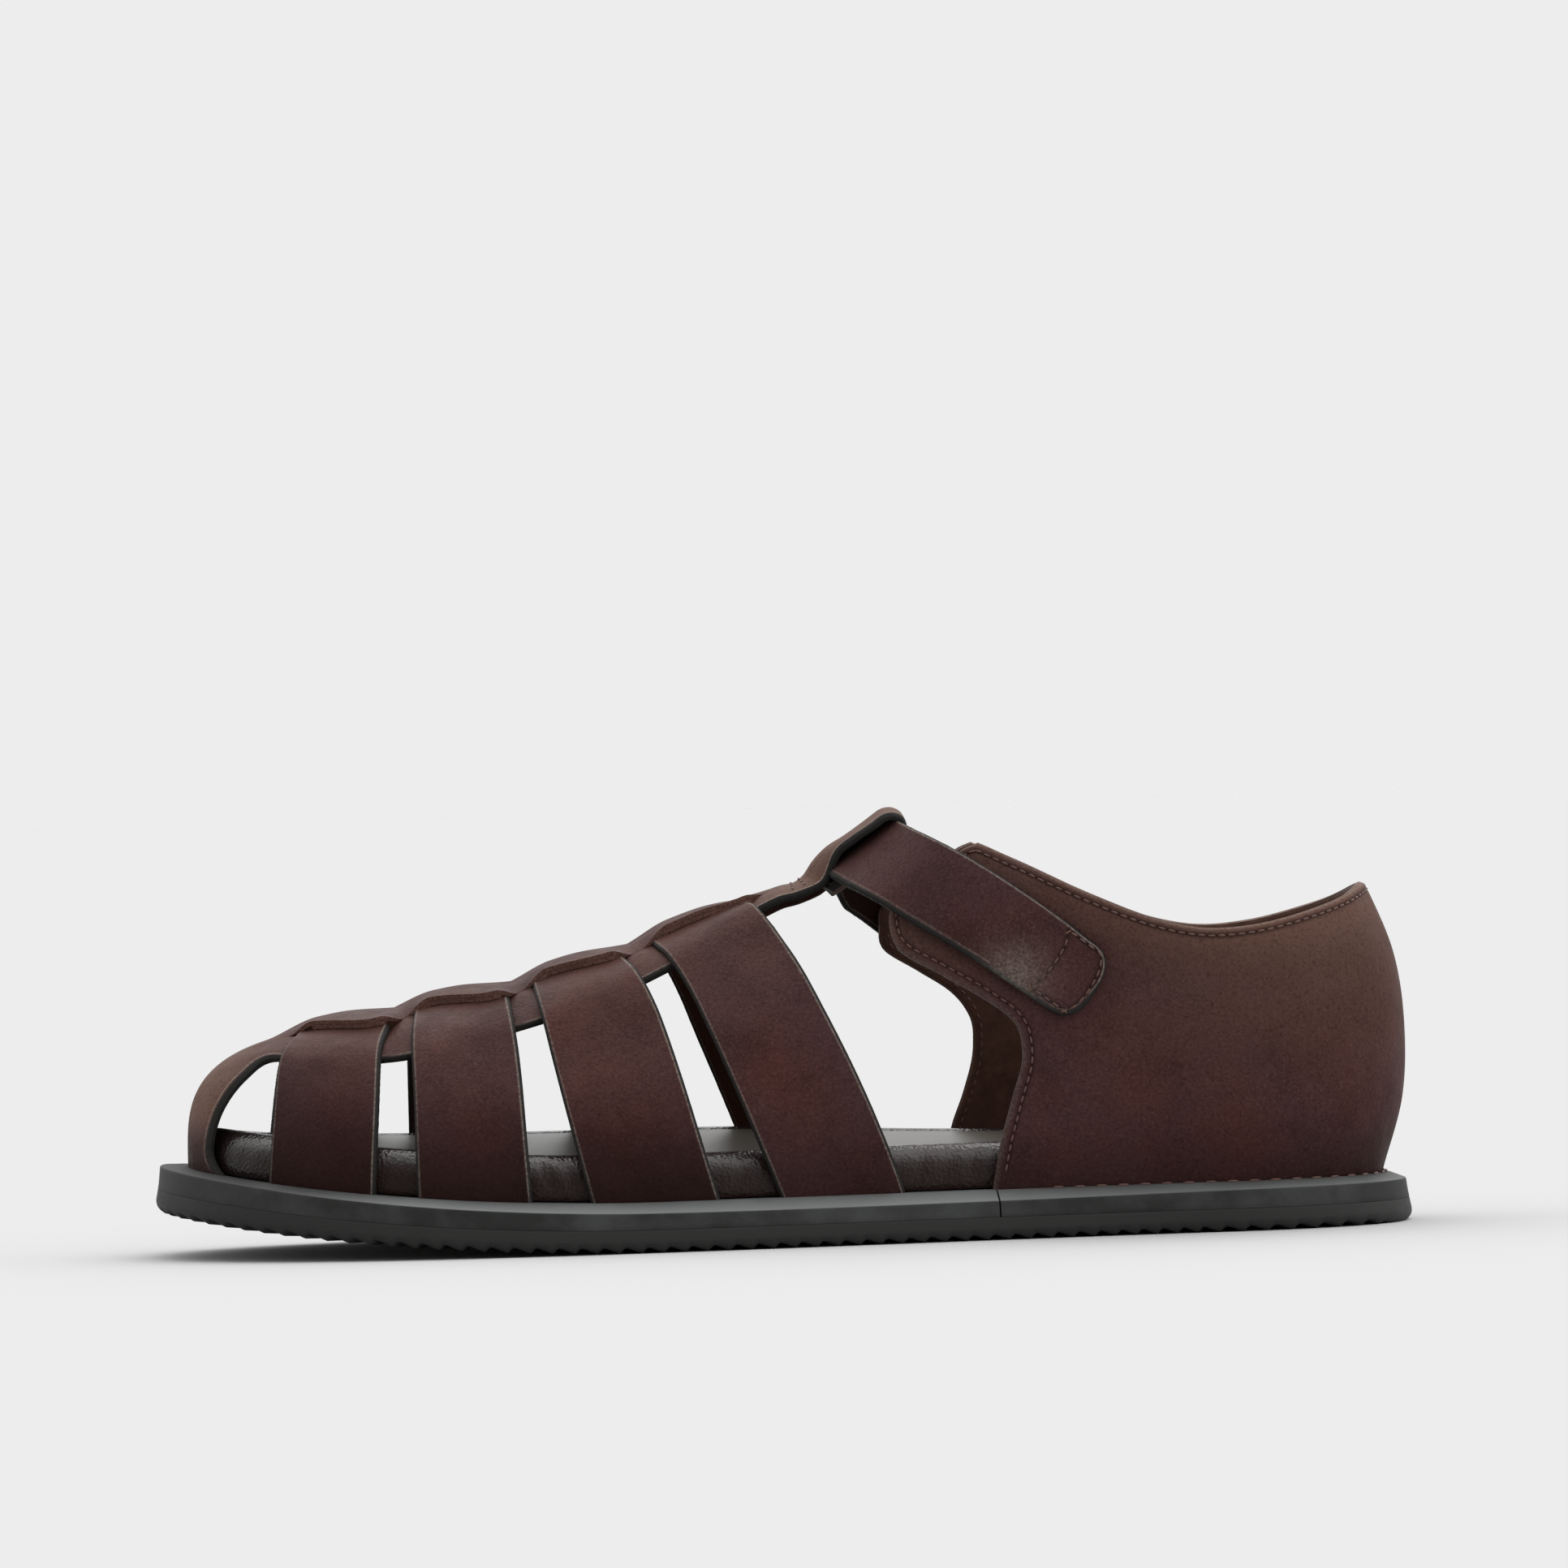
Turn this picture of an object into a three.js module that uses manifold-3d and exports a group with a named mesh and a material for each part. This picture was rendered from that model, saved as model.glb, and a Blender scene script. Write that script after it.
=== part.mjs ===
// Left fisherman sandal: a flat strap sandal with a long centre strip woven over four cross
// straps, a closed heel quarter, an ankle strap through a loop, a footbed, a welt and an outsole.
// Millimetres. The toe points to -X and the heel to +X, the outer side of the foot is -Y, +Z is up
// and the sandal stands on Z = 0. Every piece is shaped flat and then bent up by the toe spring.
import * as THREE from "three";
import Module from "manifold-3d";

const wasm = await Module();
wasm.setup();

// Clearance between touching pieces and the thickness of each wall.
const GAP = 0.3;
const PLUG_GAP = 0.5;
const ANKLE_GAP = 0.5;
const SEAM_OVERLAP = 0.2;
const LEATHER = 2;
const QUARTER_WALL = 3;
const ANKLE_LEATHER = 2.2;

// Heights of the layers of the bottom.
const OUTSOLE_TOP = 5;
const WELT_BASE = OUTSOLE_TOP + GAP;
const WELT_TOP = 11.3;
const LEDGE = WELT_TOP + GAP;
const FOOTBED_TOP = 22;

// The last, seen from above: its two ends, the ball and the seat of the heel.
const TOE_X = -136.1;
const BALL_X = -55;
const SEAT_X = 98;
const HEEL_X = 136.9;
const TOE_SHIFT = 5;
const TOE_ROUNDNESS = 2.35;
const HEEL_ROUNDNESS = 2.2;

// Half widths of the last at the top of the welt.
const LAST_WIDTHS = [
  { x: BALL_X, outer: 45, inner: 44 },
  { x: -20, outer: 43, inner: 40 },
  { x: 20, outer: 37.5, inner: 33 },
  { x: 55, outer: 32.5, inner: 30 },
  { x: SEAT_X, outer: 28.5, inner: 28.5 },
];

// The last's ridge above the welt: its height, its shift to the inner side and how full its
// section is (2 is an ellipse, less is more peaked). Behind the loop it is the wearer's leg.
const TOE_ARC_X = -105;
const TOE_ARC_POWER = 3.5;
const LAST_RIDGE = [
  { x: TOE_X, height: 23.7, shift: 5, fullness: 2.2 },
  { x: TOE_ARC_X, height: 33.1, shift: 4.5, fullness: 2.1 },
  { x: -88, height: 38.4, shift: 4, fullness: 1.95 },
  { x: -60, height: 46.5, shift: 3.5, fullness: 1.85 },
  { x: -32, height: 56.3, shift: 3.5, fullness: 1.8 },
  { x: -2, height: 66, shift: 3, fullness: 1.85 },
  { x: 8, height: 67.9, shift: 3, fullness: 1.9 },
  { x: 16, height: 71.5, shift: 3, fullness: 1.95 },
  { x: 28, height: 79.9, shift: 2.5, fullness: 2 },
  { x: 45, height: 95.5, shift: 1.5, fullness: 2.2 },
  { x: 60, height: 109, shift: 1, fullness: 2.3 },
  { x: 100, height: 140, shift: 0, fullness: 2.4 },
  { x: HEEL_X, height: 150, shift: 0, fullness: 2.4 },
];

// The back of the heel: how far it stands out behind the seat at each height above the welt.
const HEEL_BACK = [
  { rise: 0, reach: 0 },
  { rise: 18, reach: 5.4 },
  { rise: 32, reach: 6.3 },
  { rise: 50, reach: 4.3 },
  { rise: 68, reach: -2.6 },
];
const HEEL_BULGE_FROM = 60;

// Toe spring: the whole bottom curves up in front of the ball.
const SPRING_START_X = -28;
const SPRING_RISE = 11.4;
const SPRING_POWER = 1.5;
const SOLE_TOE_X = -146;

// The edge of the bottom, measured outwards from the last.
const SOLE_FOOT_REACH = 8.4;
const SOLE_WIDEST_REACH = 9.7;
const SOLE_WIDEST_Z = 2.4;
const SOLE_TOP_REACH = 9;
const WELT_EDGE_REACH = 8.3;
const WELT_BEVEL_REACH = 4.6;
const WELT_INSIDE_REACH = -6.5;
const WELT_BEVEL_DROP = [
  { x: TOE_X, drop: 1.2 },
  { x: -40, drop: 2.5 },
  { x: HEEL_X, drop: 1.7 },
];
const WELT_STEPS = 110;
const WELT_JOINT_X = 48.8;
const WELT_JOINT_GAP = 0.4;

// Saw teeth round the lower edge, and the flat tread that they run out on.
const TEETH = 148;
const TOOTH_DEPTH = 1.3;
const TOOTH_PEAK_SHARE = 0.7;
const TOOTH_END_X = 134;
const TOOTH_FADE = 4;
const TREAD_REACH = -8;

// The footbed's edge from its base to its top: how far in from the last, and how high.
const FOOTBED_STEPS = 42;
const FOOTBED_PLUG_REACH = WELT_INSIDE_REACH - PLUG_GAP;
const FOOTBED_DISH = 0.7;
const FOOTBED_EDGE = [
  { reach: -0.7, z: LEDGE },
  { reach: -0.8, z: 14.5 },
  { reach: -1.6, z: 18 },
  { reach: -3.1, z: 20.6 },
  { reach: -5.6, z: FOOTBED_TOP },
  { reach: -14, z: FOOTBED_TOP - FOOTBED_DISH },
];
const ARCH_ACROSS = { none: -20, full: 36 };
const ARCH_RISE = [
  { x: TOE_X, rise: -2 },
  { x: -80, rise: 1.4 },
  { x: -40, rise: 3.2 },
  { x: -10, rise: 3.3 },
  { x: 40, rise: 1.6 },
  { x: HEEL_X, rise: 0 },
];

// Centre strip: its reach from the ridge to each side, by its place along the middle line.
const STRIP_WIDTHS = [
  { x: TOE_X, outer: 20.5, inner: 16 },
  { x: -131, outer: 19, inner: 15 },
  { x: -121, outer: 17, inner: 15 },
  { x: -111, outer: 21.5, inner: 20 },
  { x: -90, outer: 27, inner: 25 },
  { x: -58, outer: 24, inner: 24 },
  { x: -28, outer: 18.5, inner: 20 },
  { x: -14, outer: 15.5, inner: 16.5 },
  { x: -4, outer: 11.2, inner: 11.2 },
  { x: 6, outer: 9, inner: 9 },
  { x: 30, outer: 9.5, inner: 9.5 },
];
const STRIP_TOE_STEPS = 8;
const STRIP_STEPS = 33;
const STRIP_COLUMNS = [-1, -0.55, -0.45, 0, 0.45, 0.55, 1];
const SLIT_SHARE = 0.5;
const SLIT_EDGE = 0.04;
const WEAVE_SLOPE = 3;
const WEAVE_LAP = 1;

// Loop: the strip's end folds round the ankle strap and back under it to the stitching.
const LOOP_STITCH_X = 6.5;
const LOOP_RAMP_X = 11.4;
const LOOP_FOLD_X = 29.8;
const LOOP_SAG = 2.4;
const LOOP_SEAM = 4;
const LOOP_LAP = 1;
const LOOP_STEPS = 6;
const LOOP_COLUMNS = 8;

// Cross straps: where each edge lies on the last at the welt, at the shoulder of the foot and on
// the ridge, and how much further forward the strap lies on the inner side of the foot.
const CROSS_STRAPS = [
  { front: [-116.6, -114.5, -113.2], rear: [-92.3, -90.6, -88.2], lead: 4.2 },
  { front: [-82.7, -83.3, -83.6], rear: [-56.6, -59, -62.5], lead: 5.4 },
  { front: [-43.4, -52, -56.5], rear: [-14, -25.8, -36.5], lead: 2.8 },
  { front: [-0.2, -17.3, -29.5], rear: [28.2, 8.5, -6], lead: 5.6 },
];
const LEAD_AT_SHOULDER = 0.7;
const CROSS_STEPS = 20;
const CROSS_COLUMNS = 3;

// Quarter: the x of its front edge on each side, and its top line, above the welt.
const QUARTER_TOP = 78.4;
const QUARTER_FRONT = [
  { rise: 0, outer: 48.3, inner: 39 },
  { rise: 12, outer: 51, inner: 40.5 },
  { rise: 20, outer: 53.4, inner: 43.5 },
  { rise: 31, outer: 56.2, inner: 46.2 },
  { rise: 38, outer: 54.3, inner: 45.5 },
  { rise: 44, outer: 46.5, inner: 41 },
  { rise: 49, outer: 38, inner: 33.5 },
  { rise: 54, outer: 29.6, inner: 25.9 },
  { rise: 59, outer: 27.4, inner: 25.2 },
  { rise: 64, outer: 28.4, inner: 26.2 },
  { rise: 70, outer: 34.6, inner: 33 },
  { rise: 75.6, outer: 40.5, inner: 40 },
  { rise: QUARTER_TOP, outer: 44.6, inner: 44.6 },
];
const QUARTER_TOPLINE = [
  { x: 24, rise: QUARTER_TOP },
  { x: 44.6, rise: QUARTER_TOP },
  { x: 55.7, rise: 74.4 },
  { x: 74.1, rise: 65.7 },
  { x: 88.9, rise: 59.6 },
  { x: 100, rise: 57.5 },
  { x: 111, rise: 58 },
  { x: 122, rise: 60.5 },
  { x: 131, rise: 63.5 },
  { x: HEEL_X, rise: 66.4 },
];
const QUARTER_STEPS = 18;
const QUARTER_ROWS = 12;
const QUARTER_FRONT_REACH = 0.55;

// Ankle strap: its two edges where it crosses the ridge and where it ends on each side.
const ANKLE_ON_LOOP = LEATHER + ANKLE_GAP;
const ANKLE_ON_EAR = QUARTER_WALL + ANKLE_GAP;
const ANKLE_EAR_SHARES = [0.27, 0.47];
const ANKLE_RIDGE = { low: 13.4, high: 28.7 };
const ANKLE_TAB = { low: { x: 64, rise: 38.8 }, high: { x: 74.6, rise: 54 }, round: 4.6 };
const ANKLE_SEWN = { low: { x: 49, rise: 40 }, high: { x: 60.5, rise: 58 }, round: 0 };
const ANKLE_ARCH = { low: 1.6, high: 0.9 };
const ANKLE_TIP = { x: 0.84, rise: -0.54, corner: 0.97 };
const ANKLE_STEPS = 13;
const ANKLE_COLUMNS = [0, 0.07, 0.3, 0.7, 0.93, 1];

const RUBBER = { color: 0x30312f, roughness: 0.8, metalness: 0 };
const WELT_RUBBER = { color: 0x3a3c3e, roughness: 0.75, metalness: 0 };
const FOOTBED_LEATHER = { color: 0x262220, roughness: 0.5, metalness: 0 };
const UPPER_LEATHER = { color: 0x3c2a26, roughness: 0.55, metalness: 0 };

// Smooth curve through one named column of a table, level at both ends where that is asked for.
function column(rows, by, name, at, levelEnds = false) {
  const last = rows.length - 1;
  const place = Math.min(Math.max(at, rows[0][by]), rows[last][by]);
  let i = 0;
  while (i < last - 1 && place > rows[i + 1][by]) i += 1;
  const slope = (k) => (rows[k + 1][name] - rows[k][name]) / (rows[k + 1][by] - rows[k][by]);
  const span = (k) => rows[k + 1][by] - rows[k][by];
  const tangent = (k) => {
    if (k === 0 || k === last) return levelEnds ? 0 : slope(k === 0 ? 0 : last - 1);
    return (slope(k - 1) * span(k) + slope(k) * span(k - 1)) / (span(k - 1) + span(k));
  };
  const t = (place - rows[i][by]) / span(i);
  const start = (1 + 2 * t) * (1 - t) ** 2 * rows[i][name] + t * (1 - t) ** 2 * span(i) * tangent(i);
  const end = t * t * (3 - 2 * t) * rows[i + 1][name] + t * t * (t - 1) * span(i) * tangent(i + 1);
  return start + end;
}

function mix(a, b, share) {
  return a + (b - a) * share;
}

function smooth(from, to, value) {
  const t = Math.min(Math.max((value - from) / (to - from), 0), 1);
  return t * t * (3 - 2 * t);
}

// Superellipse: how much is left of one half axis at a share of the other.
function falloff(share, power) {
  return Math.max(0, 1 - Math.min(Math.abs(share), 1) ** power) ** (1 / power);
}

function toeSpring(x) {
  const share = Math.max(0, SPRING_START_X - x) / (SPRING_START_X - SOLE_TOE_X);
  return SPRING_RISE * share ** SPRING_POWER;
}

// The last's two sides at the welt, as y values.
function lastSides(x) {
  if (x < BALL_X) {
    const share = Math.min(1, (BALL_X - x) / (BALL_X - TOE_X));
    const left = falloff(share, TOE_ROUNDNESS);
    const shift = TOE_SHIFT * share * share;
    return { outer: shift - LAST_WIDTHS[0].outer * left, inner: shift + LAST_WIDTHS[0].inner * left };
  }
  const seat = LAST_WIDTHS[LAST_WIDTHS.length - 1];
  if (x > SEAT_X) {
    const left = falloff((x - SEAT_X) / (HEEL_X - SEAT_X), HEEL_ROUNDNESS);
    return { outer: -seat.outer * left, inner: seat.inner * left };
  }
  return {
    outer: -column(LAST_WIDTHS, "x", "outer", x, true),
    inner: column(LAST_WIDTHS, "x", "inner", x, true),
  };
}

function lastRidge(x) {
  const share = Math.max(0, (TOE_ARC_X - x) / (TOE_ARC_X - TOE_X));
  return {
    height: column(LAST_RIDGE, "x", "height", x) * falloff(share, TOE_ARC_POWER),
    y: column(LAST_RIDGE, "x", "shift", x),
    fullness: column(LAST_RIDGE, "x", "fullness", x),
  };
}

// A point on the last by its place along the foot and the angle round its section, from the
// outer side at 0 over the ridge to the inner side at half a turn.
function lastRound(x, angle) {
  const sides = lastSides(x);
  const ridge = lastRidge(x);
  const power = 2 / ridge.fullness;
  const side = angle < Math.PI / 2 ? sides.outer : sides.inner;
  const y = mix(ridge.y, side, Math.abs(Math.cos(angle)) ** power);
  const rise = ridge.height * Math.max(0, Math.sin(angle)) ** power;
  return new THREE.Vector3(x, y, LEDGE + rise);
}

// A point on top of the last by its place in plan.
function lastOver(x, y) {
  const sides = lastSides(x);
  const ridge = lastRidge(x);
  const side = y < ridge.y ? sides.outer : sides.inner;
  const rise = ridge.height * falloff((y - ridge.y) / (side - ridge.y), ridge.fullness);
  return new THREE.Vector3(x, y, LEDGE + rise);
}

// A point on the last's wall by its foot on the outline and its height above the welt. The wall
// leans in as the section closes, and the heel stands out behind the seat.
function lastWall(foot, rise) {
  const ridge = lastRidge(foot.x);
  const lean = falloff(rise / ridge.height, ridge.fullness);
  const bulge = column(HEEL_BACK, "rise", "reach", rise) * smooth(HEEL_BULGE_FROM, HEEL_X, foot.x);
  return new THREE.Vector3(
    foot.x + foot.outX * bulge,
    mix(ridge.y, foot.y, lean) + foot.outY * bulge,
    LEDGE + rise,
  );
}

// The last's outline at the welt, walked from the toe along the outer side to the heel and back
// along the inner side, with the distance walked so far.
const OUTLINE_STEPS = 500;
const OUTLINE = traceOutline();

function traceOutline() {
  const half = (HEEL_X - TOE_X) / 2;
  const points = [];
  for (let i = 0; i < 2 * OUTLINE_STEPS; i += 1) {
    const turn = (i / OUTLINE_STEPS) * Math.PI;
    const x = TOE_X + half - half * Math.cos(turn);
    const sides = lastSides(x);
    points.push({ x, y: i <= OUTLINE_STEPS ? sides.outer : sides.inner });
  }
  let walked = 0;
  points.forEach((p, i) => {
    const before = points[Math.max(0, i - 1)];
    walked += Math.hypot(p.x - before.x, p.y - before.y);
    p.walked = walked;
  });
  const end = points[points.length - 1];
  const length = walked + Math.hypot(points[0].x - end.x, points[0].y - end.y);
  return { points, length, heel: points[OUTLINE_STEPS].walked };
}

// A point of the outline and its outward direction, at a walked distance from the toe.
function outlineAt(distance) {
  const { points, length } = OUTLINE;
  const place = ((distance % length) + length) % length;
  let low = 0;
  let high = points.length;
  while (high - low > 1) {
    const middle = (low + high) >> 1;
    if (points[middle].walked <= place) low = middle;
    else high = middle;
  }
  const a = points[low];
  const b = points[(low + 1) % points.length];
  const before = points[(low + points.length - 1) % points.length];
  const after = points[(low + 2) % points.length];
  const step = Math.hypot(b.x - a.x, b.y - a.y);
  const share = Math.min(1, (place - a.walked) / step);
  const along = new THREE.Vector2(
    mix(b.x - before.x, after.x - a.x, share),
    mix(b.y - before.y, after.y - a.y, share),
  ).normalize();
  return { x: mix(a.x, b.x, share), y: mix(a.y, b.y, share), outX: along.y, outY: -along.x };
}

// The walked distance to the outline's point with a given x on the outer or the inner side.
function distanceTo(x, side) {
  const { points } = OUTLINE;
  const turn = Math.acos(1 - (2 * (x - TOE_X)) / (HEEL_X - TOE_X)) / Math.PI;
  const place = (side === "outer" ? turn : 2 - turn) * OUTLINE_STEPS;
  const low = Math.min(Math.floor(place), points.length - 2);
  return mix(points[low].walked, points[low + 1].walked, place - low);
}

function reachedFrom(foot, reach, z) {
  return new THREE.Vector3(foot.x + foot.outX * reach, foot.y + foot.outY * reach, z);
}

// A closed geometry from points and triangles, turned so that its faces point outwards.
function closedGeometry(points, triangles) {
  let volume = 0;
  for (let i = 0; i < triangles.length; i += 3) {
    const [a, b, c] = [points[triangles[i]], points[triangles[i + 1]], points[triangles[i + 2]]];
    volume += a.dot(new THREE.Vector3().crossVectors(b, c));
  }
  const facing = volume > 0 ? triangles : triangles.slice().reverse();
  return new THREE.BufferGeometry().setFromPoints(points).setIndex(facing);
}

function addQuad(triangles, a, b, c, d) {
  triangles.push(a, b, c, a, c, d);
}

// Closed solid from rings of equal count, one above the other. Each end is closed by rungs from
// side to side, so that it bends with the toe spring.
function ringSolid(rings) {
  const count = rings[0].length;
  const points = rings.flat();
  const triangles = [];
  for (let r = 0; r + 1 < rings.length; r += 1) {
    for (let i = 0; i < count; i += 1) {
      const next = (i + 1) % count;
      addQuad(triangles, r * count + i, r * count + next, (r + 1) * count + next, (r + 1) * count + i);
    }
  }
  const close = (base, up) => {
    const add = (a, b, c) => triangles.push(...(up ? [a, b, c] : [c, b, a]));
    for (let i = 0; i < count / 2; i += 1) {
      const [a, b] = [base + i, base + i + 1];
      const [c, d] = [base + count - i - 1, base + ((count - i) % count)];
      if (b !== c) add(a, b, c);
      if (a !== d) add(a, c, d);
    }
  };
  close(0, false);
  close((rings.length - 1) * count, true);
  return closedGeometry(points, triangles);
}

// Closed solid from convex sections of equal count, one after the other, with flat ends.
function sweptSolid(sections) {
  const count = sections[0].length;
  const points = sections.flat();
  const triangles = [];
  for (let s = 0; s + 1 < sections.length; s += 1) {
    for (let i = 0; i < count; i += 1) {
      const next = (i + 1) % count;
      addQuad(triangles, s * count + i, s * count + next, (s + 1) * count + next, (s + 1) * count + i);
    }
  }
  const end = (sections.length - 1) * count;
  for (let i = 1; i + 1 < count; i += 1) {
    triangles.push(0, i + 1, i);
    triangles.push(end, end + i, end + i + 1);
  }
  return closedGeometry(points, triangles);
}

// Sheet of leather: a patch of the last's surface between an inside and an outside offset. The
// patch is a function of two shares, and the offsets are functions of the same shares. Its foot
// is cut level with the top of the welt.
function sheetSolid(at, alongShares, acrossShares, inside, outside) {
  const step = 1e-3;
  const clamp = (share) => Math.min(Math.max(share, 0), 1);
  const normalAt = (u, v) => {
    const du = at(clamp(u + step), v).sub(at(clamp(u - step), v));
    const dv = at(u, clamp(v + step)).sub(at(u, clamp(v - step)));
    return du.cross(dv).normalize();
  };
  const middle = at(0.5, 0.5);
  const core = new THREE.Vector3(THREE.MathUtils.clamp(middle.x, TOE_ARC_X, SEAT_X), 0, LEDGE);
  const facing = Math.sign(normalAt(0.5, 0.5).dot(middle.sub(core)));
  const pointAt = (u, v, offset) => {
    const point = at(u, v).addScaledVector(normalAt(u, v), facing * offset);
    return point.setZ(Math.max(point.z, LEDGE));
  };
  const layer = (offset) =>
    alongShares.flatMap((u) => acrossShares.map((v) => pointAt(u, v, offset(u, v))));
  const points = [...layer(outside), ...layer(inside)];
  const rows = alongShares.length;
  const width = acrossShares.length;
  const under = rows * width;
  const triangles = [];
  for (let i = 0; i + 1 < rows; i += 1) {
    for (let j = 0; j + 1 < width; j += 1) {
      const a = i * width + j;
      addQuad(triangles, a, a + width, a + width + 1, a + 1);
      addQuad(triangles, under + a, under + a + 1, under + a + width + 1, under + a + width);
    }
  }
  const wall = (a, b) => addQuad(triangles, b, a, under + a, under + b);
  for (let i = 0; i + 1 < rows; i += 1) {
    wall(i * width, (i + 1) * width);
    wall((i + 2) * width - 1, (i + 1) * width - 1);
  }
  for (let j = 0; j + 1 < width; j += 1) {
    wall(j + 1, j);
    wall((rows - 1) * width + j, (rows - 1) * width + j + 1);
  }
  return closedGeometry(points, triangles);
}

function evenShares(steps) {
  return Array.from({ length: steps + 1 }, (_, i) => i / steps);
}

// Joins overlapping solids and keeps the outer body.
function joined(geometries) {
  const solids = geometries.map((geometry) => {
    const vertProperties = new Float32Array(geometry.getAttribute("position").array);
    const triVerts = new Uint32Array(geometry.index.array);
    return new wasm.Manifold(new wasm.Mesh({ numProp: 3, vertProperties, triVerts }));
  });
  const whole = solids.reduce((sum, solid) => sum.add(solid));
  const bodies = whole.decompose().sort((a, b) => b.volume() - a.volume());
  const made = bodies[0].getMesh();
  const points = [];
  for (let i = 0; i < made.numVert; i += 1) {
    points.push(new THREE.Vector3().fromArray(made.vertProperties, i * made.numProp));
  }
  return new THREE.BufferGeometry().setFromPoints(points).setIndex([...made.triVerts]);
}

// Outsole: a flat tread, saw teeth along the edge, a flared side and a flat top.
function outsole() {
  const feet = [];
  for (let k = 0; k < TEETH; k += 1) {
    for (const [share, notch] of [[0, 1], [TOOTH_PEAK_SHARE, 0]]) {
      const foot = outlineAt(((k + share) / TEETH) * OUTLINE.length);
      const kept = 1 - smooth(TOOTH_END_X - TOOTH_FADE, TOOTH_END_X, foot.x);
      feet.push({ ...foot, notch: notch * kept * TOOTH_DEPTH });
    }
  }
  return ringSolid([
    feet.map((foot) => reachedFrom(foot, TREAD_REACH, 0)),
    feet.map((foot) => reachedFrom(foot, SOLE_FOOT_REACH, foot.notch)),
    feet.map((foot) => reachedFrom(foot, SOLE_WIDEST_REACH, SOLE_WIDEST_Z)),
    feet.map((foot) => reachedFrom(foot, SOLE_TOP_REACH, OUTSOLE_TOP)),
  ]);
}

// Welt: a rubber strip laid round the edge, butted at the outer side of the waist.
function welt() {
  const start = distanceTo(WELT_JOINT_X, "outer") + WELT_JOINT_GAP / 2;
  const run = OUTLINE.length - WELT_JOINT_GAP;
  const sections = evenShares(WELT_STEPS).map((share) => {
    const foot = outlineAt(start + share * run);
    const edge = WELT_TOP - column(WELT_BEVEL_DROP, "x", "drop", foot.x, true);
    return [
      reachedFrom(foot, WELT_INSIDE_REACH, WELT_BASE),
      reachedFrom(foot, SOLE_TOP_REACH, WELT_BASE),
      reachedFrom(foot, WELT_EDGE_REACH, edge),
      reachedFrom(foot, WELT_BEVEL_REACH, WELT_TOP),
      reachedFrom(foot, WELT_INSIDE_REACH, WELT_TOP),
    ];
  });
  return sweptSolid(sections);
}

// Footbed: a plug inside the welt, and above it a padded edge that rises on the inner side.
function footbed() {
  const feet = evenShares(FOOTBED_STEPS * 2)
    .slice(0, -1)
    .map((share) => outlineAt(share * OUTLINE.length));
  const archAt = (x, y) => {
    const across = smooth(ARCH_ACROSS.none, ARCH_ACROSS.full, y);
    return column(ARCH_RISE, "x", "rise", x, true) * across;
  };
  const plug = [WELT_BASE, LEDGE].map((z) =>
    feet.map((foot) => reachedFrom(foot, FOOTBED_PLUG_REACH, z)),
  );
  const edge = FOOTBED_EDGE.map(({ reach, z }) =>
    feet.map((foot) => {
      const point = reachedFrom(foot, reach, z);
      point.z += archAt(point.x, point.y) * ((z - LEDGE) / (FOOTBED_TOP - LEDGE));
      return point;
    }),
  );
  return ringSolid([...plug, ...edge]);
}

// Where the outline's toe has a given y, by halving.
const TOE_HALVINGS = 40;

function toeEdgeX(y) {
  const tip = lastSides(TOE_X).outer;
  let low = TOE_X;
  let high = BALL_X;
  for (let i = 0; i < TOE_HALVINGS; i += 1) {
    const middle = (low + high) / 2;
    const sides = lastSides(middle);
    const reached = y < tip ? sides.outer < y : sides.inner > y;
    if (reached) high = middle;
    else low = middle;
  }
  return high;
}

// The centre strip's middle line as a share of its length: up the front of the toe first.
const STRIP_TOE_SHARE = STRIP_TOE_STEPS / (STRIP_TOE_STEPS + STRIP_STEPS);

function stripPlace(share) {
  if (share < STRIP_TOE_SHARE) {
    const climb = 1 - Math.cos((share / STRIP_TOE_SHARE) * (Math.PI / 2));
    return { climb, x: mix(TOE_X, TOE_ARC_X, climb) };
  }
  const along = (share - STRIP_TOE_SHARE) / (1 - STRIP_TOE_SHARE);
  return { climb: 1, x: mix(TOE_ARC_X, LOOP_FOLD_X, along) };
}

function stripReach(x, across) {
  return column(STRIP_WIDTHS, "x", across < 0 ? "outer" : "inner", x);
}

function stripPoint(place, across) {
  const y = lastRidge(place.x).y + across * stripReach(place.x, across);
  if (place.climb < 1) {
    const edge = toeEdgeX(y);
    return lastOver(mix(edge, TOE_ARC_X, place.climb), y);
  }
  const sag = LOOP_SAG * across * across * smooth(LOOP_STITCH_X - LOOP_SEAM, LOOP_RAMP_X, place.x);
  return lastOver(place.x + sag, y);
}

// How far the middle of the strip lies above the last: over each cross strap, and up over the
// ankle strap at the loop.
function stripLift(x) {
  const weave = CROSS_STRAPS.map(({ front, rear }) => {
    const rising = smooth(front[2] - WEAVE_SLOPE, front[2], x);
    return rising * (1 - smooth(rear[2] - WEAVE_LAP, rear[2] + WEAVE_SLOPE, x));
  });
  const over = Math.max(...weave) * (LEATHER - SEAM_OVERLAP);
  const seam = smooth(LOOP_STITCH_X - LOOP_SEAM, LOOP_STITCH_X, x) * (LEATHER - SEAM_OVERLAP);
  const top = ANKLE_ON_LOOP + ANKLE_LEATHER + ANKLE_GAP;
  const ramp = smooth(LOOP_STITCH_X + LOOP_LAP, LOOP_RAMP_X, x) * (top - LEATHER + SEAM_OVERLAP);
  return Math.max(over, seam + ramp);
}

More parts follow.
